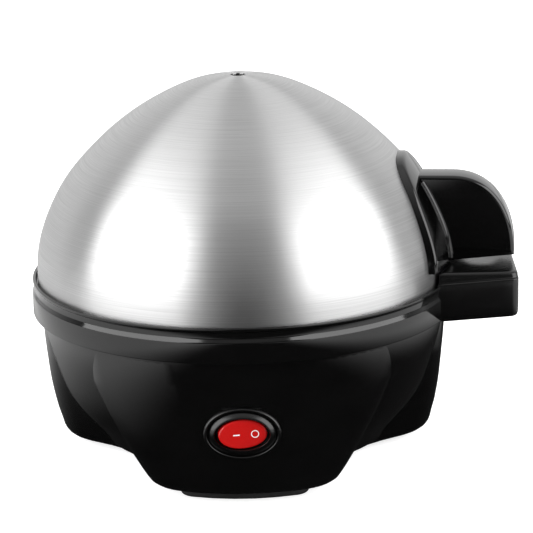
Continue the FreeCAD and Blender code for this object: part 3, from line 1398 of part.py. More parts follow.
# The collar with its handle is the widest piece, so the whole set moves along X until the
# middle of that piece's outline is over the origin, to a tenth.
widest = next(piece for piece in PIECES if piece.Label == "collar_ring")
outline = widest.Shape.optimalBoundingBox(False, False)
TO_MIDDLE = Placement(Vector(-round((outline.XMin + outline.XMax) / 2, 1), 0, 0), Rotation())
print("the axis stands at x =", TO_MIDDLE.Base.x)
for piece in PIECES:
    piece.Placement = TO_MIDDLE.multiply(piece.Placement)
doc.recompute()
for item in doc.Objects:
    if "Invalid" in item.State or "Error" in item.State:
        raise RuntimeError(f"{item.Label} did not compute: {item.State}")
os.makedirs("parts", exist_ok=True)
for piece in PIECES:
    shape = piece.Shape
    if shape.isNull() or not shape.isValid():
        raise RuntimeError(f"{piece.Label} has no valid shape")
for piece in PIECES:
    piece.Shape.exportStep(f"parts/{piece.Label}.step")
print(len(PIECES), "pieces written")
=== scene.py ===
# %% [markdown]
# # An egg boiler for the worktop
# A steel dome lid with a black grip stands in a glossy black collar with a side handle. Below it
# is a black base on three lobed feet, with an oval red rocker switch in front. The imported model
# is loaded as a frame, and the pieces that show most are then made again with finer surfaces.

# %% Load the frame
import json
import math

import bmesh
import bpy
import numpy as np
from mathutils import Matrix, Vector


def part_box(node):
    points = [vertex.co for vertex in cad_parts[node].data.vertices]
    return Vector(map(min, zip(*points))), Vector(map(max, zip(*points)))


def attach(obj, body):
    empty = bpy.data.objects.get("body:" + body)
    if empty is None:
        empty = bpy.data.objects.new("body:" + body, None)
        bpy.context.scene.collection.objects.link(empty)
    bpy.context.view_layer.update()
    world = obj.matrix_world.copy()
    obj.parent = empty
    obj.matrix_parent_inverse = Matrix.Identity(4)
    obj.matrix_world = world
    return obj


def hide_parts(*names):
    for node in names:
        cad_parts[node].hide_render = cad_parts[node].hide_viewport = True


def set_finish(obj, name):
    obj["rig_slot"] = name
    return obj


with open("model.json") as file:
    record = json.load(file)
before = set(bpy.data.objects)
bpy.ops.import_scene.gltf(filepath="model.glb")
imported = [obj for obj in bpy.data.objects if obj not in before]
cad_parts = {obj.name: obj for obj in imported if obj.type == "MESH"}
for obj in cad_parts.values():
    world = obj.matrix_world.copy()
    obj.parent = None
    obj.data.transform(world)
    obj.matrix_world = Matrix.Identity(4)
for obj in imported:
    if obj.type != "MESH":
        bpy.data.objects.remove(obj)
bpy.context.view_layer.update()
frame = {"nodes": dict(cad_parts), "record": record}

print("frame nodes:", len(frame["nodes"]))

# %% [markdown]
# Every new piece is drawn in millimetres about the dome's own axis, because most of the boiler
# is turned about that line. One matrix then scales a piece to metres and moves it to the axis,
# which is read from the dome in the frame. A second one also turns it by the angle at which the
# lid was put down, because its grip doesn't stand quite over the side handle.

# %% The dome's axis and the lid's turn
dome_low, dome_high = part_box("lid_dome")
axis_x = (dome_low.x + dome_high.x) / 2
LID_TURN = math.radians(-6.0)
to_axis = Matrix.Translation((axis_x, 0, 0)) @ Matrix.Scale(0.001, 4)
to_lid = to_axis @ Matrix.Rotation(LID_TURN, 4, "Z")
print("dome axis at x =", round(axis_x, 4))

# %% [markdown]
# Each piece ends the same way: its bmesh is placed, becomes a mesh object, is shaded smooth with
# crisp edges where the faces meet at a steep angle, and rides on its body of the frame.

# %% Finish a piece
finished = {}


def finish_piece(name, bm, body, instead_of, slot, placed=to_axis, crisp=32):
    """Turns a bmesh into a named object that rides on a body and stands for nodes of the frame."""
    bmesh.ops.transform(bm, matrix=placed, verts=bm.verts)
    mesh = bpy.data.meshes.new(name)
    bm.to_mesh(mesh)
    bm.free()
    mesh.shade_smooth()
    mesh.set_sharp_from_angle(angle=math.radians(crisp))
    piece = bpy.data.objects.new(name, mesh)
    bpy.context.scene.collection.objects.link(piece)
    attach(piece, body)
    if instead_of:
        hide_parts(*instead_of)
    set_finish(piece, slot)
    finished[name] = piece
    print(name, len(mesh.polygons), "faces")


def spin_profile(profile, steps=192):
    """Spins a closed profile of (radius, height) points about the vertical axis."""
    bm = bmesh.new()
    points = [bm.verts.new((radius, 0, height)) for radius, height in profile]
    edges = [bm.edges.new(pair) for pair in zip(points, points[1:] + points[:1])]
    bmesh.ops.spin(bm, geom=points + edges, cent=(0, 0, 0), axis=(0, 0, 1), angle=2 * math.pi,
                   steps=steps, use_merge=True)
    bmesh.ops.remove_doubles(bm, verts=bm.verts, dist=0.0005)
    bmesh.ops.recalc_face_normals(bm, faces=bm.faces)
    return bm


def soften(bm, angle, width):
    """Rounds every edge that is sharper than an angle."""
    sharp = [e for e in bm.edges if len(e.link_faces) == 2 and e.calc_face_angle(0) > math.radians(angle)]
    bmesh.ops.bevel(bm, geom=sharp, offset=width, offset_type="OFFSET", affect="EDGES", segments=3,
                    profile=0.5, material=-1, clamp_overlap=True)


# %% [markdown]
# A pressed dome is one smooth curve from rim to apex, and polished metal shows the smallest kink
# in it. So the profile's few measured points are joined by a natural cubic spline, whose bend
# changes without a jump, and the spline is sampled closely.

# %% A smooth line through a few points
def smooth_profile(points, samples):
    """Points on the natural cubic spline through the given (radius, height) points."""
    known = np.array(points, float)
    run = np.concatenate([[0], np.cumsum(np.linalg.norm(np.diff(known, axis=0), axis=1))])
    gap = np.diff(run)
    count = len(known)
    system = np.eye(count)
    bend = np.zeros((count, 2))
    for i in range(1, count - 1):
        system[i, i - 1:i + 2] = gap[i - 1], 2 * (gap[i - 1] + gap[i]), gap[i]
        bend[i] = 6 * ((known[i + 1] - known[i]) / gap[i] - (known[i] - known[i - 1]) / gap[i - 1])
    second = np.linalg.solve(system, bend)
    line = []
    for at in np.linspace(0, run[-1], samples):
        i = min(int(np.searchsorted(run, at, side="right")) - 1, count - 2)
        b = (at - run[i]) / gap[i]
        a = 1 - b
        point = a * known[i] + b * known[i + 1]
        point += ((a ** 3 - a) * second[i] + (b ** 3 - b) * second[i + 1]) * gap[i] ** 2 / 6
        line.append((float(point[0]), float(point[1])))
    return line


# %% The dome's outline
DOME_RIM = 73.9
DOME_APEX = 156.4
DOME_RADIUS = 83.5
DOME_SHEET = 0.6
STEAM_HOLE = 3.0
DOME_SHARES = [
    (1.000, 0.000), (0.9985, 0.120), (0.973, 0.244), (0.925, 0.366), (0.857, 0.487),
    (0.758, 0.608), (0.633, 0.729), (0.505, 0.826), (0.357, 0.911), (0.212, 0.970), (0.0, 1.0),
]
DOME_SAMPLES = 97
dome_points = [(DOME_RADIUS * r, DOME_RIM + (DOME_APEX - DOME_RIM) * h) for r, h in DOME_SHARES]
dome_line = smooth_profile(dome_points, DOME_SAMPLES)


def dome_radius(height):
    """Outer radius of the dome at a height."""
    heights = [point[1] for point in dome_line]
    return float(np.interp(height, heights, [point[0] for point in dome_line]))


print("dome radius at mid height", round(dome_radius((DOME_RIM + DOME_APEX) / 2), 1))

# %% [markdown]
# The lid is thin pressed steel, so it has an inside as well. The outer line is followed from the
# rim to the steam hole and comes back a sheet's thickness further in, and this closed line is
# spun. A small rolled bead at the rim catches the light as the real one does. The UV map runs
# round the dome in U and up its slope in V, so that the brushing can follow the turning.

# %% Dome lid
DOME_STEPS = 256
UV_LENGTH = 100


def build_dome():
    """Spins the lid's wall and unwraps it round and up."""
    outer = [p for p in dome_line if p[0] > STEAM_HOLE]
    top = np.interp(-STEAM_HOLE, [-p[0] for p in dome_line], [p[1] for p in dome_line])
    inner = [(p[0] - DOME_SHEET * n[0], p[1] - DOME_SHEET * n[1]) for p, n in zip(outer, outward(outer))]
    rim = [(DOME_RADIUS - DOME_SHEET / 2, DOME_RIM - DOME_SHEET / 4)]
    profile = rim + outer + [(STEAM_HOLE, float(top))] + [(STEAM_HOLE, float(top) - DOME_SHEET)] + inner[::-1]
    bm = spin_profile(profile, DOME_STEPS)
    unwrap = bm.loops.layers.uv.new("round_and_up")
    for face in bm.faces:
        middle = face.calc_center_median()
        turn = math.atan2(middle.y, middle.x)
        for loop in face.loops:
            spot = loop.vert.co
            here = math.atan2(spot.y, spot.x)
            here += 2 * math.pi * round((turn - here) / (2 * math.pi))
            up = spot.z - DOME_RIM + DOME_RADIUS - spot.xy.length
            loop[unwrap].uv = (here / (2 * math.pi), up / UV_LENGTH)
    return bm


def outward(line):
    """Unit vectors that point out of a profile that runs from its rim to its apex."""
    steps = np.gradient(np.array(line), axis=0)
    across = np.stack([steps[:, 1], -steps[:, 0]], axis=1)
    return across / np.linalg.norm(across, axis=1, keepdims=True)


finish_piece("dome", build_dome(), "lid", ["lid_dome"], "dome_steel", crisp=40)

# %% [markdown]
# The collar is a moulded ring. Its face is upright, then steps in to a shallow groove under a
# rounded lip, and inside it has the ledge on which the lid and the rack stand. The section is a
# closed outline, spun once, with its corners rounded so that each one draws a fine light line.

# %% Collar ring
COLLAR_RADIUS = 86.0
COLLAR_LOW = 61.9
COLLAR_TOP = 75.9
FACE_TOP = 70.2
SKIRT_INSIDE = 82.8
GROOVE_RADIUS = 85.1
GROOVE_LOW = 71.7
GROOVE_TOP = 74.0
LIP_RADIUS = 85.7
LIP_LOW = 74.7
LIP_INSIDE = 84.4
LEDGE_TOP = 73.6
LEDGE_INSIDE = 70.0
COLLAR_ROUND = 0.32


def build_collar():
    """Spins the collar's section and rounds its corners."""
    section = [
        (SKIRT_INSIDE, COLLAR_LOW), (COLLAR_RADIUS, COLLAR_LOW), (COLLAR_RADIUS, FACE_TOP),
        (GROOVE_RADIUS, GROOVE_LOW), (GROOVE_RADIUS, GROOVE_TOP), (LIP_RADIUS, LIP_LOW),
        (LIP_RADIUS, COLLAR_TOP), (LIP_INSIDE, COLLAR_TOP), (LIP_INSIDE, LEDGE_TOP),
        (LEDGE_INSIDE, LEDGE_TOP), (LEDGE_INSIDE, FACE_TOP), (SKIRT_INSIDE, FACE_TOP),
    ]
    bm = spin_profile(section)
    soften(bm, 20, COLLAR_ROUND)
    return bm


finish_piece("collar", build_collar(), "base", ["collar_ring"], "black_plastic", crisp=50)

# %% [markdown]
# The side handle grows out of the collar. Its outline from above is a rectangle with two rounded
# corners whose root follows the collar. Copies of that outline, drawn in a little at each level,
# are joined into the block: the hollow below, the rounded lower edge, the face with its crisp
# upper edge, the stepped shoulder and the shallow thumb dish. The face rises outwards, as the
# real one does, and the top stays level.

# %% Join rings of points
def stack_rings(rings, capped=True):
    """Joins closed rings of points one to the next, and caps both ends or joins the last to the first."""
    bm = bmesh.new()
    rows = [[bm.verts.new(point) for point in ring] for ring in rings]
    for low, high in zip(rows, rows[1:] if capped else rows[1:] + rows[:1]):
        for i in range(len(low)):
            bm.faces.new((low[i - 1], low[i], high[i], high[i - 1]))
    if capped:
        for row in (rows[0], rows[-1]):
            bm.faces.new(row)
    bmesh.ops.recalc_face_normals(bm, faces=bm.faces)
    return bm


# %% Side handle
HANDLE_REACH = 109.7
HANDLE_HALF_WIDTH = 34.3
HANDLE_RISE = math.tan(math.radians(3.6))
HANDLE_START = 81.4
HANDLE_CORNER = 2.8
HANDLE_TOP = 19.1
DISH_MIDDLE = 95.7
DISH_HALVES = (9.2, 24.0)
DISH_DEPTH = 2.0
DISH_SQUARENESS = 0.7


def handle_plan(inset, end_inset, root_radius):
    """Outline of the side handle from above, drawn in at its sides and at its end."""
    corner, end, half = HANDLE_CORNER, HANDLE_REACH - end_inset, HANDLE_HALF_WIDTH - inset
    root = math.sqrt(root_radius ** 2 - half ** 2)
    near = [(x, -half) for x in np.linspace(root, end - corner, 9)[:-1]]
    turn = [(end - corner + corner * math.sin(a), -half + corner - corner * math.cos(a))
            for a in np.linspace(0, math.pi / 2, 9)]
    front = [(end, y) for y in np.linspace(corner - half, 0, 9)[1:]]
    right = near + turn + front
    left = [(x, -y) for x, y in right[-2::-1]]
    root_arc = [(math.sqrt(root_radius ** 2 - y ** 2), y) for y in np.linspace(half, -half, 18)[1:-1]]
    return np.array(right + left + root_arc)


def smooth_step(share):
    """Rises gently from 0 to 1."""
    return share * share * (3 - 2 * share)


def build_side_handle():
    """Stack of outlines from the hollow below up to the thumb dish."""
    inside, outside = 87.5, 84.7
    # Side inset, end inset, level, root radius and share of the rise.
    levels = [(7.0, 7.0, 9.6, inside, 1), (4.2, 4.2, 9.4, inside, 1), (3.8, 3.8, 9.0, inside, 1),
              (3.6, 3.6, -0.4, inside, 1), (3.3, 3.3, -0.85, inside, 1), (2.3, 1.7, -0.9, inside, 1),
              (1.3, 0.7, -0.6, inside, 1), (0.6, 0.3, 0.2, 82.0, 1), (0.2, 0.1, 1.6, 82.0, 1),
              (0.0, 0.0, 4.6, 82.0, 1), (0.0, 0.0, 11.0, 82.0, 1), (0.0, 0.0, 11.4, outside, 1),
              (0.0, 0.0, 14.6, outside, 1), (0.07, 0.02, 14.86, outside, 1), (0.24, 0.05, 15.04, outside, 1),
              (0.5, 0.08, 15.1, outside, 1), (1.1, 0.1, 15.1, outside, 1),
              (1.35, 0.12, 15.2, outside, 0.95), (1.5, 0.15, 15.6, outside, 0.8),
              (1.65, 0.2, 17.0, outside, 0.3), (1.8, 0.25, 18.0, outside, 0.1),
              (2.1, 0.55, 18.65, outside, 0), (2.6, 1.0, 18.98, outside, 0),
              (3.4, 1.8, HANDLE_TOP, outside, 0)]
    rings = []
    for inset, end_inset, level, root, share in levels:
        plan = handle_plan(inset, end_inset, root)
        rings.append([(x, y, COLLAR_LOW + level + share * (x - HANDLE_START) * HANDLE_RISE) for x, y in plan])
    shoulder = np.array(plan)
    bearing = np.arctan2(shoulder[:, 1] / DISH_HALVES[1], (shoulder[:, 0] - DISH_MIDDLE) / DISH_HALVES[0])
    across = DISH_HALVES[0] * np.sign(np.cos(bearing)) * np.abs(np.cos(bearing)) ** DISH_SQUARENESS
    along = DISH_HALVES[1] * np.sign(np.sin(bearing)) * np.abs(np.sin(bearing)) ** DISH_SQUARENESS
    dish_rim = np.stack([DISH_MIDDLE + across, along], axis=1)
    middle = np.array([DISH_MIDDLE, 0.0])
    top = COLLAR_LOW + HANDLE_TOP
    for share in (0.35, 0.7, 0.9):
        rings.append([(x, y, top) for x, y in shoulder + (dish_rim - shoulder) * share])
    for share in (1.0, 0.93, 0.85, 0.72, 0.58, 0.42, 0.26, 0.1):
        level = top - DISH_DEPTH * (1 - smooth_step(share))
        rings.append([(x, y, level) for x, y in middle + (dish_rim - middle) * share])
    return stack_rings(rings)


finish_piece("side_handle", build_side_handle(), "base", [], "black_plastic", crisp=40)

# %% [markdown]
# The lid handle is one moulding. A flange with an arched outline hugs the dome: it is thin in the
# middle and thicker towards its rounded rim. The grip stands out from it like a fin with rounded
# edges, and a small hollow fillet on each side leads from the flange into the grip. The flange is
# a stack of arches, and each of their points is laid on the dome's own curve.

# %% Flange of the lid handle
FLANGE_HALF = 31.2
FLANGE_LOW = 82.5
FLANGE_TOP = 124.0
FLANGE_MIDDLE = 99.0
FLANGE_THIN = 1.7
FLANGE_THICK = 3.1
FLANGE_ROUND = 1.0


def arch_outline(half_width, bottom, top, count=40):
    """Points (across, height) of an arch with an upright foot and a round head."""
    right = []
    for i in range(count + 1):
        angle = math.pi / 2 * i / count
        across = half_width * math.cos(angle) ** 0.72
        up = math.sin(angle) ** 1.12
        right.append((across * (1 - 0.06 * up * (1 - up)), bottom + (top - bottom) * up))
    foot = [(across, bottom) for across in np.linspace(-half_width, half_width, 21)[1:-1]]
    return right + [(-a, u) for a, u in right[-2::-1]] + foot


def flange_thickness(across, height):
    """Thickness of the flange, which grows towards its sides and its head."""
    up = max(height - FLANGE_MIDDLE, 0) / (FLANGE_TOP - FLANGE_MIDDLE)
    spread = min(math.hypot(across / FLANGE_HALF, up), 1)
    return FLANGE_THIN + (FLANGE_THICK - FLANGE_THIN) * spread ** 1.5


def on_flange(across, height, drop=0.0):
    """A point on the flange's outer face, or a drop below it."""
    reach = dome_radius(height) + 0.12 + flange_thickness(across, height) - drop
    return (math.sqrt(max(reach ** 2 - across ** 2, 0)), across, height)


def build_flange():
    """Stack of arches: up the rim, round its edge and in over the face."""
    rings = []

    def ring(inset, share, drop=None):
        outline = arch_outline(FLANGE_HALF - inset, FLANGE_LOW + inset, FLANGE_TOP - inset)
        points = [(a * share, FLANGE_MIDDLE + (u - FLANGE_MIDDLE) * share) for a, u in outline]
        return [on_flange(a, u, flange_thickness(a, u) if drop is None else drop) for a, u in points]

    for share in (0.05, 0.3, 0.55, 0.8, 1.0):
        rings.append(ring(0.0, share))
    for inset, drop in ((0.0, 1.0), (0.06, 0.66), (0.27, 0.3), (0.6, 0.07), (1.0, 0.0)):
        rings.append(ring(FLANGE_ROUND * inset, 1.0, FLANGE_ROUND * drop))
    for share in (0.94, 0.82, 0.68, 0.52, 0.36, 0.2, 0.06):
        rings.append(ring(FLANGE_ROUND, share, 0.0))
    return stack_rings(rings)


finish_piece("lid_flange", build_flange(), "lid", ["lid_handle"], "black_plastic", to_lid, crisp=50)

# %% Grip of the lid handle
GRIP_HALF = 7.0
GRIP_SHOULDER = (85.0, 116.3)
GRIP_TIP = (110.35, 84.0)
GRIP_ROUND = 1.5


def grip_outline(count=30):
    """Points (x, z) of the grip seen from the side, from its root round the curve to its tip."""
    points = [(70.0, 79.9), (60.0, 96.0), (60.0, GRIP_SHOULDER[1])]
    for i in range(count + 1):
        angle = math.pi / 2 * (1 - i / count)
        across = GRIP_SHOULDER[0] + (GRIP_TIP[0] - GRIP_SHOULDER[0]) * math.cos(angle) ** 0.89
        points.append((across, GRIP_TIP[1] + (GRIP_SHOULDER[1] - GRIP_TIP[1]) * math.sin(angle) ** 0.89))
    return points


def build_grip():
    """Fin with rounded edges."""
    bm = bmesh.new()
    outline = [bm.verts.new((x, -GRIP_HALF, z)) for x, z in grip_outline()]
    face = bm.faces.new(outline)
    grown = bmesh.ops.extrude_face_region(bm, geom=[face])
    far = [v for v in grown["geom"] if isinstance(v, bmesh.types.BMVert)]
    bmesh.ops.translate(bm, verts=far, vec=(0, 2 * GRIP_HALF, 0))
    bmesh.ops.recalc_face_normals(bm, faces=bm.faces)
    rims = [e for e in bm.edges if e.calc_length() > 0 and abs(e.verts[0].co.y - e.verts[1].co.y) < 0.01]
    bmesh.ops.bevel(bm, geom=rims, offset=GRIP_ROUND, offset_type="OFFSET", affect="EDGES", segments=5,
                    profile=0.5, material=-1, clamp_overlap=True)
    return bm


finish_piece("lid_grip", build_grip(), "lid", [], "black_plastic", to_lid, crisp=35)

# %% Fillets between flange and grip
FILLET = 1.3
FILLET_SINK = 1.0
FILLET_OVERLAP = 0.4


def build_fillet(side):
    """A hollow fillet up the root of the grip; each section runs from the flange to the grip's face."""
    rings = []
    for height in np.linspace(GRIP_TIP[1] - 1.2, GRIP_SHOULDER[1] - 2.2, 40):
        foot_x, foot_y, z = on_flange(GRIP_HALF + FILLET, float(height))
        root_x = on_flange(GRIP_HALF, float(height))[0]
        section = []
        for angle in np.linspace(0, math.pi / 2, 7):
            x = foot_x + (root_x + FILLET - foot_x) * (1 - math.cos(angle))
            y = foot_y - FILLET * math.sin(angle)
            section.append((x, side * y, z))
        inside = side * (GRIP_HALF - FILLET_OVERLAP)
        section += [(root_x + FILLET, inside, z), (root_x - FILLET_SINK, inside, z),
                    (foot_x - FILLET_SINK, side * foot_y, z)]
        rings.append(section)
    return stack_rings(rings)


for side, name in ((-1, "grip_fillet_near"), (1, "grip_fillet_far")):
    finish_piece(name, build_fillet(side), "lid", [], "black_plastic", to_lid, crisp=50)

# %% [markdown]
# The base is a round bowl with three broad lobes that run down into the feet. The bowl is spun.
# A lobe is one plan outline with rounded corners that is drawn from the foot up to the collar in
# rings, each ring scaled to the width and depth that the lobe has there. The front lobe is then
# cut by an upright plane, which gives the flat shield on which the switch sits.

# %% Bowl of the base
BOWL_LOW = 9.5
BOWL_TOP = 68.4
BOWL_RADIUS = 82.6
BOWL_SHARES = [
    (0.711, 0.000), (0.752, 0.076), (0.824, 0.195), (0.896, 0.348), (0.942, 0.518),
    (0.970, 0.654), (0.991, 0.789), (1.000, 1.000),
]
BOWL_WALL = 2.2
BOWL_SAMPLES = 41
BOWL_HOLE = 33.0
BOWL_MOUTH = 69.5
MOUTH_LOW = 66.4
INNER_TOP = 66.0


def build_bowl():
    """Spins the bowl's wall and its floor."""
    points = [(BOWL_RADIUS * r, BOWL_LOW + (BOWL_TOP - BOWL_LOW) * h) for r, h in BOWL_SHARES]
    outer = smooth_profile(points, BOWL_SAMPLES)
    inner = [(r - BOWL_WALL, max(h, BOWL_LOW + BOWL_WALL)) for r, h in outer]
    profile = [(BOWL_HOLE, BOWL_LOW)] + outer + [(BOWL_MOUTH, BOWL_TOP), (BOWL_MOUTH, MOUTH_LOW)]
    profile += [point for point in inner[::-1] if point[1] < INNER_TOP]
    return spin_profile(profile + [(BOWL_HOLE, BOWL_LOW + BOWL_WALL)])


bowl = build_bowl()

# %% Lobes of the base
LOBE_RADIUS = 82.3
FRONT_LOW = 4.4
REAR_LOW = 2.6
LOBE_TOP = 66.0
LOBE_CORNER = 18.0
LOBE_BACK = 36.0
FACET = 77.9
LOBE_SHARES = [
    (0.000, 0.857, 0.413), (0.013, 0.894, 0.437), (0.032, 0.921, 0.452), (0.060, 0.936, 0.465),
    (0.121, 0.942, 0.496), (0.209, 0.950, 0.537), (0.322, 0.960, 0.585), (0.482, 0.973, 0.654),
    (0.675, 0.988, 0.720), (0.800, 0.996, 0.738), (0.900, 1.000, 0.746), (1.000, 1.001, 0.750),
]


def lobe_plan(radius, half_width):
    """Plan outline of a lobe: a wide front arc with a rounded corner at each end."""
    corner, back = LOBE_CORNER, LOBE_BACK
    centre = Vector((half_width - corner, -math.sqrt((radius - corner) ** 2 - (half_width - corner) ** 2)))
    front = math.atan2(centre.y, centre.x)
    right = [Vector((half_width + 2.0, -back)), Vector((half_width + 0.6, (centre.y - back) / 2))]
    right += [centre + corner * Vector((math.cos(a), math.sin(a))) for a in np.linspace(0, front, 13)]
    right += [radius * Vector((math.cos(a), math.sin(a))) for a in np.linspace(front, -math.pi / 2, 15)[1:]]
    return [(p.x, p.y) for p in right] + [(-p.x, p.y) for p in right[-2::-1]]


def build_lobe(turn, low, facet=None):
    """Draws a lobe up ring by ring, caps it, cuts its facet and turns it into place."""
    heights = smooth_profile([(r, h) for h, r, w in LOBE_SHARES], 40)
    widths = {h: w for h, r, w in LOBE_SHARES}
    rings = []
    for radius_share, height_share in heights:
        width_share = float(np.interp(height_share, list(widths), list(widths.values())))
        plan = lobe_plan(radius_share * LOBE_RADIUS, width_share * LOBE_RADIUS)
        level = low + height_share * (LOBE_TOP - low)
        rings.append([(x, y, level) for x, y in plan])
    bm = stack_rings(rings)
    if facet:
        cut = bmesh.ops.bisect_plane(bm, geom=bm.verts[:] + bm.edges[:] + bm.faces[:],
                                     plane_co=(0, -facet, 0), plane_no=(0, -1, 0), clear_outer=True)
        rim = [e for e in cut["geom_cut"] if isinstance(e, bmesh.types.BMEdge)]
        bmesh.ops.holes_fill(bm, edges=rim)
        bmesh.ops.recalc_face_normals(bm, faces=bm.faces)
    bmesh.ops.rotate(bm, verts=bm.verts, cent=(0, 0, 0), matrix=Matrix.Rotation(turn, 3, "Z"))
    return bm


def join_into(target, extra):
    """Adds the faces of one bmesh to another and frees it."""
    passing = bpy.data.meshes.new("passing")
    extra.to_mesh(passing)
    extra.free()
    target.from_mesh(passing)
    bpy.data.meshes.remove(passing)


join_into(bowl, build_lobe(0.0, FRONT_LOW, FACET))
join_into(bowl, build_lobe(math.radians(120), REAR_LOW))
join_into(bowl, build_lobe(math.radians(240), REAR_LOW))
finish_piece("base_shell", bowl, "base", ["housing"], "black_plastic", crisp=38)

# %% [markdown]
# A rubber pad lies under each lobe. Its plan is a bent rectangle with round ends that follows the
# circle of the feet, and its lower edge is rounded.

# %% Foot pads
PAD_MIDDLE = 58.4
PAD_HALF_LENGTH = 25.0
PAD_HALF_WIDTH = 7.8
PAD_CORNER = 6.5


def pad_plan(inset):
    """Outline of a pad, drawn in by an inset and bent round the axis; it looks along -Y."""
    corner = PAD_CORNER - inset
    long, wide = PAD_HALF_LENGTH - inset - corner, PAD_HALF_WIDTH - inset - corner
    points = []
    for quarter, (x_sign, y_sign) in enumerate(((1, 1), (-1, 1), (-1, -1), (1, -1))):
        for angle in np.linspace(0, math.pi / 2, 8):
            along = x_sign * long + corner * math.cos(angle + quarter * math.pi / 2)
            out = PAD_MIDDLE + y_sign * wide + corner * math.sin(angle + quarter * math.pi / 2)
            points.append((along, out))
        if y_sign * x_sign > 0:
            points += [(along * share, out) for share in (0.6, 0.2, -0.2, -0.6)]
    return [(out * math.sin(along / PAD_MIDDLE), -out * math.cos(along / PAD_MIDDLE))
            for along, out in points]


def build_pad(turn):
    """Stack of outlines from the floor up to the lobe, each with its inset and level."""
    bm = stack_rings([[(x, y, level) for x, y in pad_plan(inset)]
                      for inset, level in ((1.0, 0.0), (0.5, 0.14), (0.15, 0.5), (0.0, 1.0), (0.0, 5.0))])
    bmesh.ops.rotate(bm, verts=bm.verts, cent=(0, 0, 0), matrix=Matrix.Rotation(turn, 3, "Z"))
    return bm


for node, turn in (("foot_pad_front", 0), ("foot_pad_right", 120), ("foot_pad_left", 240)):
    name = node.replace("foot_pad", "rubber_pad")
    finish_piece(name, build_pad(math.radians(turn)), "base", [node], "foot_rubber")

# %% [markdown]
# The switch is an oval snap-in rocker. Its bezel has a rounded outer rim, a groove and a raised
# inner ring that rises towards the mouth. Each of these is an oval, so the bezel is a stack of
# ovals joined one to the next, and the rocker is made the same way.

# %% Oval rings
SWITCH_HEIGHT = 31.7
OVAL_SEGMENTS = 96


def oval_stack(ovals, capped=True):
    """Stacks ovals of (half width, half height, distance in front of the facet)."""
    turns = np.linspace(0, 2 * math.pi, OVAL_SEGMENTS, endpoint=False)
    return stack_rings([[(wide * math.cos(turn), -FACET - front, SWITCH_HEIGHT + tall * math.sin(turn))
                         for turn in turns] for wide, tall, front in ovals], capped)


# %% Bezel
bezel = oval_stack([
    (13.0, 8.8, 0.05), (15.1, 10.5, 0.05), (15.1, 10.5, 0.6), (15.0, 10.4, 1.05), (14.75, 10.2, 1.4),
    (14.4, 9.9, 1.6), (14.0, 9.55, 1.62), (13.7, 9.3, 1.5), (13.55, 9.15, 1.2), (13.45, 9.07, 0.7),
    (13.15, 8.87, 0.5), (13.05, 8.8, 0.7), (12.85, 8.6, 0.95), (12.3, 8.05, 1.45), (11.6, 7.3, 2.02),
    (11.05, 6.7, 2.35), (10.8, 6.45, 2.38), (10.65, 6.3, 2.2), (10.6, 6.25, 1.8), (10.6, 6.25, -2.5),
    (11.0, 6.8, -2.5), (11.0, 6.8, 0.05),
], capped=False)
finish_piece("bezel", bezel, "base", ["switch_bezel"], "black_plastic", crisp=45)

# %% [markdown]
# The rocker is a red lens of translucent plastic. Its face dips like a saddle about the upright
# pivot, its edge is rounded, and in the off position its right end is pressed in. The dash and the
# ring are small raised prints, and they are laid on the same dipped face so that they never float.

# %% Rocker
ROCKER_HALF_WIDTH = 9.45
ROCKER_HALF_HEIGHT = 5.85
ROCKER_ASIDE = -0.5
ROCKER_FRONT = 2.3
ROCKER_DIP = 0.95
ROCKER_REST = math.radians(9)
PIVOT = Vector((0, -FACET + 3.2, SWITCH_HEIGHT))


def rocker_face(x):
    """How far the rocker's face stands in front of the facet at a distance from its middle."""
    return ROCKER_FRONT - ROCKER_DIP * (1 - (x / ROCKER_HALF_WIDTH) ** 2)


def tilt_rocker(bm):
    """Turns a piece of the rocker about its pins to the off position."""
    bmesh.ops.translate(bm, verts=bm.verts, vec=(ROCKER_ASIDE, 0, 0))
    bmesh.ops.rotate(bm, verts=bm.verts, cent=PIVOT, matrix=Matrix.Rotation(ROCKER_REST, 3, "Z"))


def build_rocker():
    """Oval body with rounded edge and saddle face."""
    shares = [(1.0, -6.0), (1.0, 0.0), (1.0, 1.4), (0.995, 1.75), (0.975, 2.05), (0.945, 2.22), (0.9, 2.3)]
    shares += [(share, 2.3) for share in (0.8, 0.7, 0.6, 0.5, 0.4, 0.3, 0.2, 0.1)]
    bm = oval_stack([(ROCKER_HALF_WIDTH * s, ROCKER_HALF_HEIGHT * s, front) for s, front in shares])
    for vert in bm.verts:
        front = -FACET - vert.co.y
        if front > 0:
            dip = ROCKER_DIP * (1 - (vert.co.x / ROCKER_HALF_WIDTH) ** 2)
            vert.co.y += dip * min(front / ROCKER_FRONT, 1)
    tilt_rocker(bm)
    return bm


finish_piece("rocker", build_rocker(), "rocker", ["switch_rocker"], "rocker_red", crisp=40)

# %% Dash and ring on the rocker
DASH_SIZE = (2.5, 0.44)
DASH_PLACE = (-2.5, -0.2)
RING_RADII = (1.52, 1.22)
RING_PLACE = (4.7, -0.05)
MARK_HEIGHT = 0.06
MARK_SINK = 0.02


def lay_on_rocker(bm, place):
    """Gives a flat mark, drawn about zero, its thickness and lays it on the rocker's dipped face."""
    grown = bmesh.ops.extrude_face_region(bm, geom=bm.faces[:])
    raised = [v for v in grown["geom"] if isinstance(v, bmesh.types.BMVert)]
    bmesh.ops.translate(bm, verts=raised, vec=(0, 0, MARK_HEIGHT))
    for vert in bm.verts:
        x = vert.co.x + place[0]
        front = rocker_face(x) - MARK_SINK + vert.co.z
        vert.co = Vector((x, -FACET - front, SWITCH_HEIGHT + place[1] + vert.co.y))
    bmesh.ops.recalc_face_normals(bm, faces=bm.faces)
    tilt_rocker(bm)


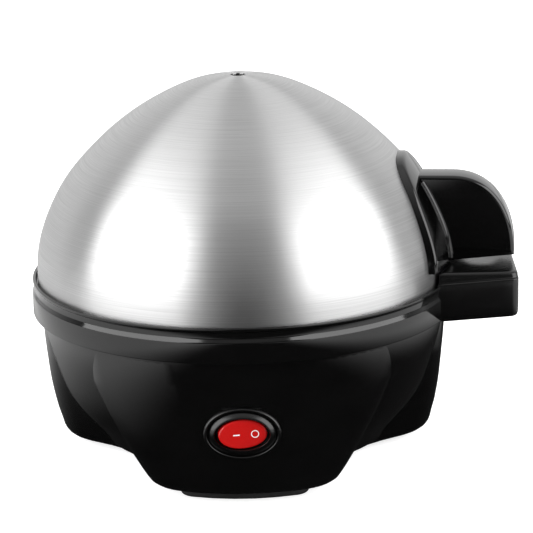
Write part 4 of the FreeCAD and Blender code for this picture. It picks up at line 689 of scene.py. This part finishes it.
def build_dash():
    """A short bar, finely divided so that it follows the face."""
    bm = bmesh.new()
    bmesh.ops.create_grid(bm, x_segments=8, y_segments=2, size=0.5,
                          matrix=Matrix.Diagonal((*DASH_SIZE, 1, 1)))
    lay_on_rocker(bm, DASH_PLACE)
    return bm


def build_ring():
    """A flat ring made from two bridged circles."""
    bm = bmesh.new()
    for radius in RING_RADII:
        bmesh.ops.create_circle(bm, segments=48, radius=radius, cap_ends=False)
    bmesh.ops.bridge_loops(bm, edges=bm.edges[:])
    lay_on_rocker(bm, RING_PLACE)
    return bm


finish_piece("rocker_dash", build_dash(), "rocker", [], "ceramic_white")
finish_piece("rocker_ring", build_ring(), "rocker", [], "ceramic_white")

# %% [markdown]
# ## Finishes
# Three effects are shared, so each is a node group. Grain gives small changes of colour and
# roughness and a fine height to moulded and plain parts. Brushing gives long thin lines that run
# along U of a UV map, as a turning tool or an abrasive band leaves them. Handling gives the faint
# smears that glossy plastic takes from fingers.

# %% Nodes and groups
SOCKETS = {type(None): "NodeSocketVector", tuple: "NodeSocketColor", float: "NodeSocketFloat"}


def new_group(name, inputs):
    """A shader group with its sockets; an input's default says what kind it is."""
    group = bpy.data.node_groups.new(name, "ShaderNodeTree")
    for label, default in inputs.items():
        socket = group.interface.new_socket(name=label, in_out="INPUT", socket_type=SOCKETS[type(default)])
        if default is not None:
            socket.default_value = default
    for label, kind in (("Color", tuple), ("Roughness", float), ("Height", float)):
        group.interface.new_socket(name=label, in_out="OUTPUT", socket_type=SOCKETS[kind])
    return group, group.nodes.new("NodeGroupInput"), group.nodes.new("NodeGroupOutput")


def feed(tree, socket, value):
    """Sets a socket to a number or a colour, or links it to another node's output."""
    if isinstance(value, (float, tuple)):
        socket.default_value = value
    else:
        tree.links.new(value, socket)


def calculate(tree, operation, *values):
    """The output of a math node."""
    node = tree.nodes.new("ShaderNodeMath")
    node.operation = operation
    for socket, value in zip(node.inputs, values):
        feed(tree, socket, value)
    return node.outputs[0]


def blend(tree, factor, first, second):
    """A colour between two others."""
    mix = tree.nodes.new("ShaderNodeMix")
    mix.data_type = "RGBA"
    for label, value in (("Factor", factor), ("A", first), ("B", second)):
        feed(tree, mix.inputs[label], value)
    return mix.outputs["Result"]


def ramp(tree, value, start, end, low, high, kind="LINEAR"):
    """Maps start to end of a value onto low to high."""
    node = tree.nodes.new("ShaderNodeMapRange")
    node.interpolation_type = kind
    for label, bound in (("From Min", start), ("From Max", end), ("To Min", low), ("To Max", high),
                         ("Value", value)):
        feed(tree, node.inputs[label], bound)
    return node.outputs["Result"]


def noise_node(group, source, scale, detail, stretch=None):
    """A noise texture on the given vector, stretched if asked."""
    if stretch:
        mapping = group.nodes.new("ShaderNodeMapping")
        mapping.inputs["Scale"].default_value = stretch
        group.links.new(source, mapping.inputs["Vector"])
        source = mapping.outputs["Vector"]
    noise = group.nodes.new("ShaderNodeTexNoise")
    noise.inputs["Detail"].default_value = detail
    group.links.new(source, noise.inputs["Vector"])
    feed(group, noise.inputs["Scale"], scale)
    return noise.outputs["Fac"]


def put_out(group, into, out, mask, height, colours, roughness):
    """A mask picks between two colours and two roughnesses, over the middle of its range."""
    spread = ramp(group, mask, 0.3, 0.7, 0.0, 1.0)
    colour = blend(group, spread, *(into.outputs[label] for label in colours))
    rough = ramp(group, mask, 0.3, 0.7, *(into.outputs[label] for label in roughness))
    for label, value in (("Color", colour), ("Roughness", rough), ("Height", height)):
        group.links.new(value, out.inputs[label])
    return group


def grain_group():
    """Colour drift, roughness spread and height for plain and moulded surfaces."""
    group, into, out = new_group("grain", {
        "Vector": None, "Scale": 900.0, "Colour": (0.5, 0.5, 0.5, 1), "Other Colour": (0.6, 0.6, 0.6, 1),
        "Smooth": 0.3, "Rough": 0.5})
    fine = noise_node(group, into.outputs["Vector"], into.outputs["Scale"], 2.0)
    broad = noise_node(group, into.outputs["Vector"], 45.0, 4.0)
    return put_out(group, into, out, broad, fine, ("Colour", "Other Colour"), ("Smooth", "Rough"))


def brushing_group():
    """Long thin lines along U: their colour, roughness and height."""
    group, into, out = new_group("brushing", {
        "Vector": None, "Dark": (0.5, 0.5, 0.5, 1), "Light": (0.7, 0.7, 0.7, 1),
        "Smooth": 0.25, "Rough": 0.4})
    fine = noise_node(group, into.outputs["Vector"], 1.0, 3.0, (14.0, 900.0, 1.0))
    coarse = noise_node(group, into.outputs["Vector"], 1.0, 2.0, (5.0, 210.0, 1.0))
    lines = calculate(group, "MULTIPLY_ADD", coarse, 0.45, calculate(group, "MULTIPLY", fine, 0.55))
    return put_out(group, into, out, lines, lines, ("Dark", "Light"), ("Rough", "Smooth"))


def handling_group():
    """Faint smears: a roughness between two values that changes over a few centimetres."""
    group, into, out = new_group("handling", {
        "Vector": None, "Clean": 0.08, "Smeared": 0.2, "Colour": (0.01, 0.01, 0.01, 1),
        "Dusty": (0.02, 0.02, 0.02, 1)})
    smear = noise_node(group, into.outputs["Vector"], 1.0, 5.0, (38.0, 38.0, 90.0))
    ripple = noise_node(group, into.outputs["Vector"], 1.0, 1.0, (60.0, 60.0, 60.0))
    return put_out(group, into, out, smear, ripple, ("Colour", "Dusty"), ("Clean", "Smeared"))


grain, brushing, handling = grain_group(), brushing_group(), handling_group()
print("node groups:", grain.name, brushing.name, handling.name)

# %% Materials from a group
def make_finish(name, group, values, bump, uv=None, **shader_values):
    """A Principled material whose colour, roughness and bump come from one node group."""
    material = bpy.data.materials.new(name)
    material.use_nodes = True
    nodes, links = material.node_tree.nodes, material.node_tree.links
    shader = nodes["Principled BSDF"]
    for label, value in shader_values.items():
        shader.inputs[label.replace("_", " ")].default_value = value
    if uv:
        source = nodes.new("ShaderNodeUVMap")
        source.uv_map = uv
        vector = source.outputs["UV"]
    else:
        vector = nodes.new("ShaderNodeTexCoord").outputs["Object"]
    effect = nodes.new("ShaderNodeGroup")
    effect.node_tree = group
    links.new(vector, effect.inputs["Vector"])
    for label, value in values.items():
        effect.inputs[label].default_value = value
    links.new(effect.outputs["Color"], shader.inputs["Base Color"])
    links.new(effect.outputs["Roughness"], shader.inputs["Roughness"])
    if bump:
        relief = nodes.new("ShaderNodeBump")
        relief.inputs["Strength"].default_value = 1.0
        relief.inputs["Distance"].default_value = bump
        links.new(effect.outputs["Height"], relief.inputs["Height"])
        links.new(relief.outputs["Normal"], shader.inputs["Normal"])
    return material


def shade(level, warmth=0.0):
    """A grey of a given level, with a little warmth or coolness."""
    return (level * (1 + warmth), level, level * (1 - warmth), 1)


# %% [markdown]
# The dome's steel is brushed round its axis. The fine lines spread a reflection across them, up
# and down the slope, and that is why the lights draw upright bands on it. The Principled shader
# does this with its anisotropy, and the tangent comes from the same UV map as the lines.

# %% Metals
dome_steel = make_finish("brushed_dome_steel", brushing, {
    "Dark": shade(0.47), "Light": shade(0.64), "Smooth": 0.34, "Rough": 0.46}, 0.000006, uv="round_and_up",
    Metallic=1.0, Anisotropic=0.88, Anisotropic_Rotation=0.25)
tangent = dome_steel.node_tree.nodes.new("ShaderNodeTangent")
tangent.direction_type = "UV_MAP"
tangent.uv_map = "round_and_up"
dome_steel.node_tree.links.new(tangent.outputs["Tangent"],
                               dome_steel.node_tree.nodes["Principled BSDF"].inputs["Tangent"])


def plain_metal(name, level, smooth, rough, warmth=0.0, bump=0.000004, scale=700.0):
    """A metal with a fine grain."""
    return make_finish(name, grain, {
        "Scale": scale, "Colour": shade(level * 0.9, warmth), "Other Colour": shade(level * 1.05, warmth),
        "Smooth": smooth, "Rough": rough}, bump, Metallic=1.0)


dish_steel = plain_metal("drawn_dish_steel", 0.58, 0.22, 0.34)
zinc_steel = plain_metal("zinc_plated_steel", 0.55, 0.3, 0.45, warmth=0.02)
spreader_metal = plain_metal("cast_aluminium", 0.66, 0.4, 0.55, scale=500.0, bump=0.00002)
element_metal = plain_metal("heat_tinted_sheath", 0.24, 0.35, 0.5, warmth=0.06)
brass = plain_metal("brass_contacts", 0.55, 0.25, 0.4, warmth=0.28)

# %% [markdown]
# The black mouldings are glossy, almost without colour of their own, so all that one sees is what
# they reflect. A thin coat sharpens that. The bezel and the side handle are satin instead. The
# other plastics, the rubber and the wire covers share the grain group, each with its own scale and
# roughness.

# %% Plastics, rubber and the rest
deep_black = {"Colour": shade(0.001), "Dusty": shade(0.0018)}
black_gloss = make_finish("glossy_black_moulding", handling, {"Clean": 0.06, "Smeared": 0.13, **deep_black},
                          0.00002, Coat_Weight=0.15, Coat_Roughness=0.04)
black_satin = make_finish("satin_black_moulding", handling, {"Clean": 0.22, "Smeared": 0.3, **deep_black},
                          0.00002)
rocker_red = make_finish("red_rocker_plastic", handling, {
    "Clean": 0.12, "Smeared": 0.22, "Colour": (0.44, 0.005, 0.004, 1), "Dusty": (0.38, 0.004, 0.005, 1)},
    0.00001, Subsurface_Weight=0.12, Subsurface_Scale=0.001)
print_white = make_finish("white_print", grain, {
    "Scale": 1500.0, "Colour": shade(0.86), "Other Colour": shade(0.8), "Smooth": 0.35, "Rough": 0.5},
    0.000004)


def moulded(name, colour, other, smooth, rough, scale=900.0, bump=0.00001, **shader_values):
    """A plastic or rubber with a fine grain."""
    return make_finish(name, grain, {"Scale": scale, "Colour": (*colour, 1), "Other Colour": (*other, 1),
                                     "Smooth": smooth, "Rough": rough}, bump, **shader_values)


foot_rubber = moulded("foot_rubber", (0.018, 0.018, 0.018), (0.03, 0.03, 0.03), 0.6, 0.8, 1300.0, 0.00004)
rack_black = moulded("satin_black_rack", (0.014, 0.014, 0.015), (0.022, 0.022, 0.023), 0.32, 0.46, 1100.0,
                     0.00003)
nylon = moulded("natural_nylon", (0.72, 0.7, 0.62), (0.8, 0.78, 0.7), 0.35, 0.5, Subsurface_Weight=0.1,
                Subsurface_Scale=0.002)
resin = moulded("dark_moulded_resin", (0.02, 0.017, 0.014), (0.035, 0.03, 0.026), 0.4, 0.6)
silicone = moulded("pale_silicone", (0.6, 0.6, 0.58), (0.68, 0.68, 0.66), 0.45, 0.6)
ceramic = moulded("unglazed_ceramic", (0.8, 0.78, 0.72), (0.86, 0.84, 0.8), 0.6, 0.8, 1600.0, 0.00003)
glass_fibre = moulded("glass_fibre_sleeve", (0.75, 0.73, 0.64), (0.85, 0.83, 0.75), 0.7, 0.9, 2200.0, 0.0001)
lamp_glass = moulded("neon_lamp_glass", (0.9, 0.75, 0.7), (0.95, 0.82, 0.78), 0.03, 0.06,
                     Transmission_Weight=0.9)
wire_covers = {
    "wire_brown": moulded("brown_wire_cover", (0.17, 0.06, 0.025), (0.2, 0.08, 0.03), 0.3, 0.42),
    "wire_blue": moulded("blue_wire_cover", (0.03, 0.09, 0.36), (0.04, 0.11, 0.42), 0.3, 0.42),
    "wire_green": moulded("green_wire_cover", (0.08, 0.3, 0.05), (0.1, 0.36, 0.06), 0.3, 0.42),
    "wire_red": moulded("red_wire_cover", (0.4, 0.03, 0.02), (0.46, 0.04, 0.03), 0.3, 0.42),
}

# %% Give every piece its finish
slot_finish = {
    "dome_steel": dome_steel, "black_plastic": black_gloss, "foot_rubber": foot_rubber,
    "rocker_red": rocker_red, "dish_steel": dish_steel, "zinc_steel": zinc_steel,
    "spreader_aluminium": spreader_metal,
    "element_sheath": element_metal, "brass": brass, "ceramic_white": ceramic, "silicone_seal": silicone,
    "glass_fibre": glass_fibre, "rack_plastic": rack_black, "nylon_natural": nylon, "thermostat_black": resin,
    "lamp_glass": lamp_glass, **wire_covers,
}
node_slot = {part["node"]: part["material_slot"] for part in frame["record"]["subparts"]}
for node, thing in frame["nodes"].items():
    finish = slot_finish[node_slot[node]]
    if finish is dome_steel:
        finish = dish_steel
    thing.data.materials.clear()
    thing.data.materials.append(finish)
for name, piece in finished.items():
    piece.data.materials.append(slot_finish[piece["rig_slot"]])
own_finish = {"rocker_dash": print_white, "rocker_ring": print_white, "bezel": black_satin,
              "side_handle": black_satin}
for name, finish in own_finish.items():
    finished[name].data.materials[0] = finish
print("finishes:", len(slot_finish))

# %% [markdown]
# ## Stage, light and camera
# The boiler stands on a pale floor before a white surround. Two large soft lights stand left and
# right of the camera and draw the two broad bright bands on the dome. The room behind the camera
# is dark. The floor's middle strip is painted dark where the mouldings reflect it, and together these
# keep the fronts of the black mouldings deep. The floor keeps the boiler's shadow, and only the
# camera sees it lifted to white.

# %% Floor
FLOOR_RADIUS = 4.0
FLOOR_DROP = 0.0002
FLOOR_TONE = (0.8, 0.8, 0.8, 1)
FLOOR_LIFT = 0.78
# Painted shade: the floor's middle strip turns this black colour in reflections only.
REFLECTION_SHADE_TONE = (0.0, 0.0, 0.0, 1)
STRIP_MIDDLE = 0.02
STRIP_FADE = (0.10, 0.23)
STRIP_SHARE = 0.97


def add_floor():
    """A wide round floor: pale, near white to the camera, and painted dark in reflections of its middle
    strip.
    """
    bm = bmesh.new()
    bmesh.ops.create_circle(bm, segments=96, radius=FLOOR_RADIUS, cap_ends=True)
    mesh = bpy.data.meshes.new("floor")
    bm.to_mesh(mesh)
    bm.free()
    floor = bpy.data.objects.new("floor", mesh)
    floor.location = (0, 0, -FLOOR_DROP)
    bpy.context.scene.collection.objects.link(floor)
    material = bpy.data.materials.new("pale_floor")
    material.use_nodes = True
    tree = material.node_tree
    shader = tree.nodes["Principled BSDF"]
    shader.inputs["Roughness"].default_value = 0.9
    shader.inputs["Specular IOR Level"].default_value = 0.0
    shader.inputs["Emission Color"].default_value = (1, 1, 1, 1)
    path = tree.nodes.new("ShaderNodeLightPath")
    where = tree.nodes.new("ShaderNodeSeparateXYZ")
    tree.links.new(tree.nodes.new("ShaderNodeTexCoord").outputs["Object"], where.inputs[0])
    # Glossy rays that hit the middle strip see it painted black. This is a painted dark reflection in the
    # fronts of the black mouldings.
    aside = calculate(tree, "ABSOLUTE", calculate(tree, "SUBTRACT", where.outputs["X"], STRIP_MIDDLE))
    strip = ramp(tree, aside, *STRIP_FADE, STRIP_SHARE, 0.0, "SMOOTHSTEP")
    reflection_shade_mask = calculate(tree, "MULTIPLY", strip, path.outputs["Is Glossy Ray"])
    lift = calculate(tree, "MULTIPLY", path.outputs["Is Camera Ray"], FLOOR_LIFT)
    tree.links.new(blend(tree, reflection_shade_mask, FLOOR_TONE, REFLECTION_SHADE_TONE), shader.inputs["Base Color"])
    tree.links.new(lift, shader.inputs["Emission Strength"])
    mesh.materials.append(material)
    print("floor radius:", FLOOR_RADIUS)


add_floor()

# %% Surround
BEHIND_FADE = 0.6
BEHIND_TONE = 0.9
OVERHEAD_TONE = 0.9
OVERHEAD_POWER = 2.2
ROOM_TONE = 0.03


def add_surround():
    """World: white to the camera, pale behind the boiler and dark behind the camera in reflections."""
    world = bpy.data.worlds.new("surround")
    bpy.context.scene.world = world
    world.use_nodes = True
    tree = world.node_tree
    tree.nodes.clear()
    split = tree.nodes.new("ShaderNodeSeparateXYZ")
    tree.links.new(tree.nodes.new("ShaderNodeTexCoord").outputs["Generated"], split.inputs[0])
    behind = ramp(tree, split.outputs["Y"], 0.0, BEHIND_FADE, 0.0, BEHIND_TONE)
    above = calculate(tree, "MAXIMUM", split.outputs["Z"], 0.0)
    overhead = calculate(tree, "MULTIPLY_ADD", calculate(tree, "POWER", above, OVERHEAD_POWER),
                         OVERHEAD_TONE, ROOM_TONE)
    room, seen = tree.nodes.new("ShaderNodeBackground"), tree.nodes.new("ShaderNodeBackground")
    for background in (room, seen):
        background.inputs["Color"].default_value = (1, 1, 1, 1)
    tree.links.new(calculate(tree, "MAXIMUM", behind, overhead), room.inputs["Strength"])
    path = tree.nodes.new("ShaderNodeLightPath")
    either = calculate(tree, "MAXIMUM", path.outputs["Is Camera Ray"], path.outputs["Is Transmission Ray"])
    choose = tree.nodes.new("ShaderNodeMixShader")
    for socket, source in zip(choose.inputs, (either, room.outputs[0], seen.outputs[0])):
        tree.links.new(source, socket)
    out = tree.nodes.new("ShaderNodeOutputWorld")
    tree.links.new(choose.outputs[0], out.inputs["Surface"])
    print("surround nodes:", len(tree.nodes))


add_surround()

# %% Lights
SOFTBOX_ELEVATION = math.radians(25)
SOFTBOX_DISTANCE = 1.5
SOFTBOX_HEIGHT = 1.3
SOFTBOX_TARGET = Vector((axis_x, 0, 0.08))


def add_softbox(name, azimuth, width, power):
    """A large soft light that faces the boiler; azimuth 0 is the camera's side, positive is right."""
    data = bpy.data.lights.new(name, "AREA")
    data.shape = "RECTANGLE"
    data.size, data.size_y = width, SOFTBOX_HEIGHT
    data.energy = power
    light = bpy.data.objects.new(name, data)
    turn, level = math.radians(azimuth), math.cos(SOFTBOX_ELEVATION)
    away = Vector((math.sin(turn) * level, -math.cos(turn) * level, math.sin(SOFTBOX_ELEVATION)))
    light.location = SOFTBOX_TARGET + SOFTBOX_DISTANCE * away
    light.rotation_euler = away.to_track_quat("Z", "Y").to_euler()
    bpy.context.scene.collection.objects.link(light)
    print(name, power, "W")


add_softbox("softbox_left", azimuth=-61, width=1.8, power=27)
add_softbox("softbox_right", azimuth=64, width=1.75, power=26)

# %% [markdown]
# The camera was found by fitting the collar, the dome and the switch to the photograph: it stands
# a metre away, about 16 degrees above the worktop and a little to the right of the front. Its
# frame is shifted a few percent, because the boiler isn't in the middle of the picture.

# %% Camera
CAMERA_DISTANCE = 1.0
CAMERA_ELEVATION = math.radians(15.92)
CAMERA_AZIMUTH = math.radians(1.3)
CAMERA_ROLL = math.radians(-1.45)
AIM = Vector((axis_x, 0, 0.0699))
FOCAL_PIXELS = 2441.0
PICTURE_PIXELS = 533.0
AIM_PIXEL = (243.10, 281.60)


def add_camera():
    """The photograph's camera."""
    data = bpy.data.cameras.new("camera")
    data.sensor_width = 36
    data.lens = FOCAL_PIXELS / PICTURE_PIXELS * data.sensor_width
    data.shift_x = (PICTURE_PIXELS / 2 - AIM_PIXEL[0]) / PICTURE_PIXELS
    data.shift_y = (AIM_PIXEL[1] - PICTURE_PIXELS / 2) / PICTURE_PIXELS
    data.clip_end = 50
    camera = bpy.data.objects.new("camera", data)
    away = Vector((math.sin(CAMERA_AZIMUTH) * math.cos(CAMERA_ELEVATION),
                   -math.cos(CAMERA_AZIMUTH) * math.cos(CAMERA_ELEVATION), math.sin(CAMERA_ELEVATION)))
    facing = away.to_track_quat("Z", "Y").to_matrix().to_4x4() @ Matrix.Rotation(CAMERA_ROLL, 4, "Z")
    camera.matrix_world = Matrix.Translation(AIM + CAMERA_DISTANCE * away) @ facing
    bpy.context.scene.collection.objects.link(camera)
    bpy.context.scene.camera = camera
    print("camera lens:", round(data.lens, 1), "mm")


add_camera()
bpy.context.scene.view_settings.view_transform = "Standard"
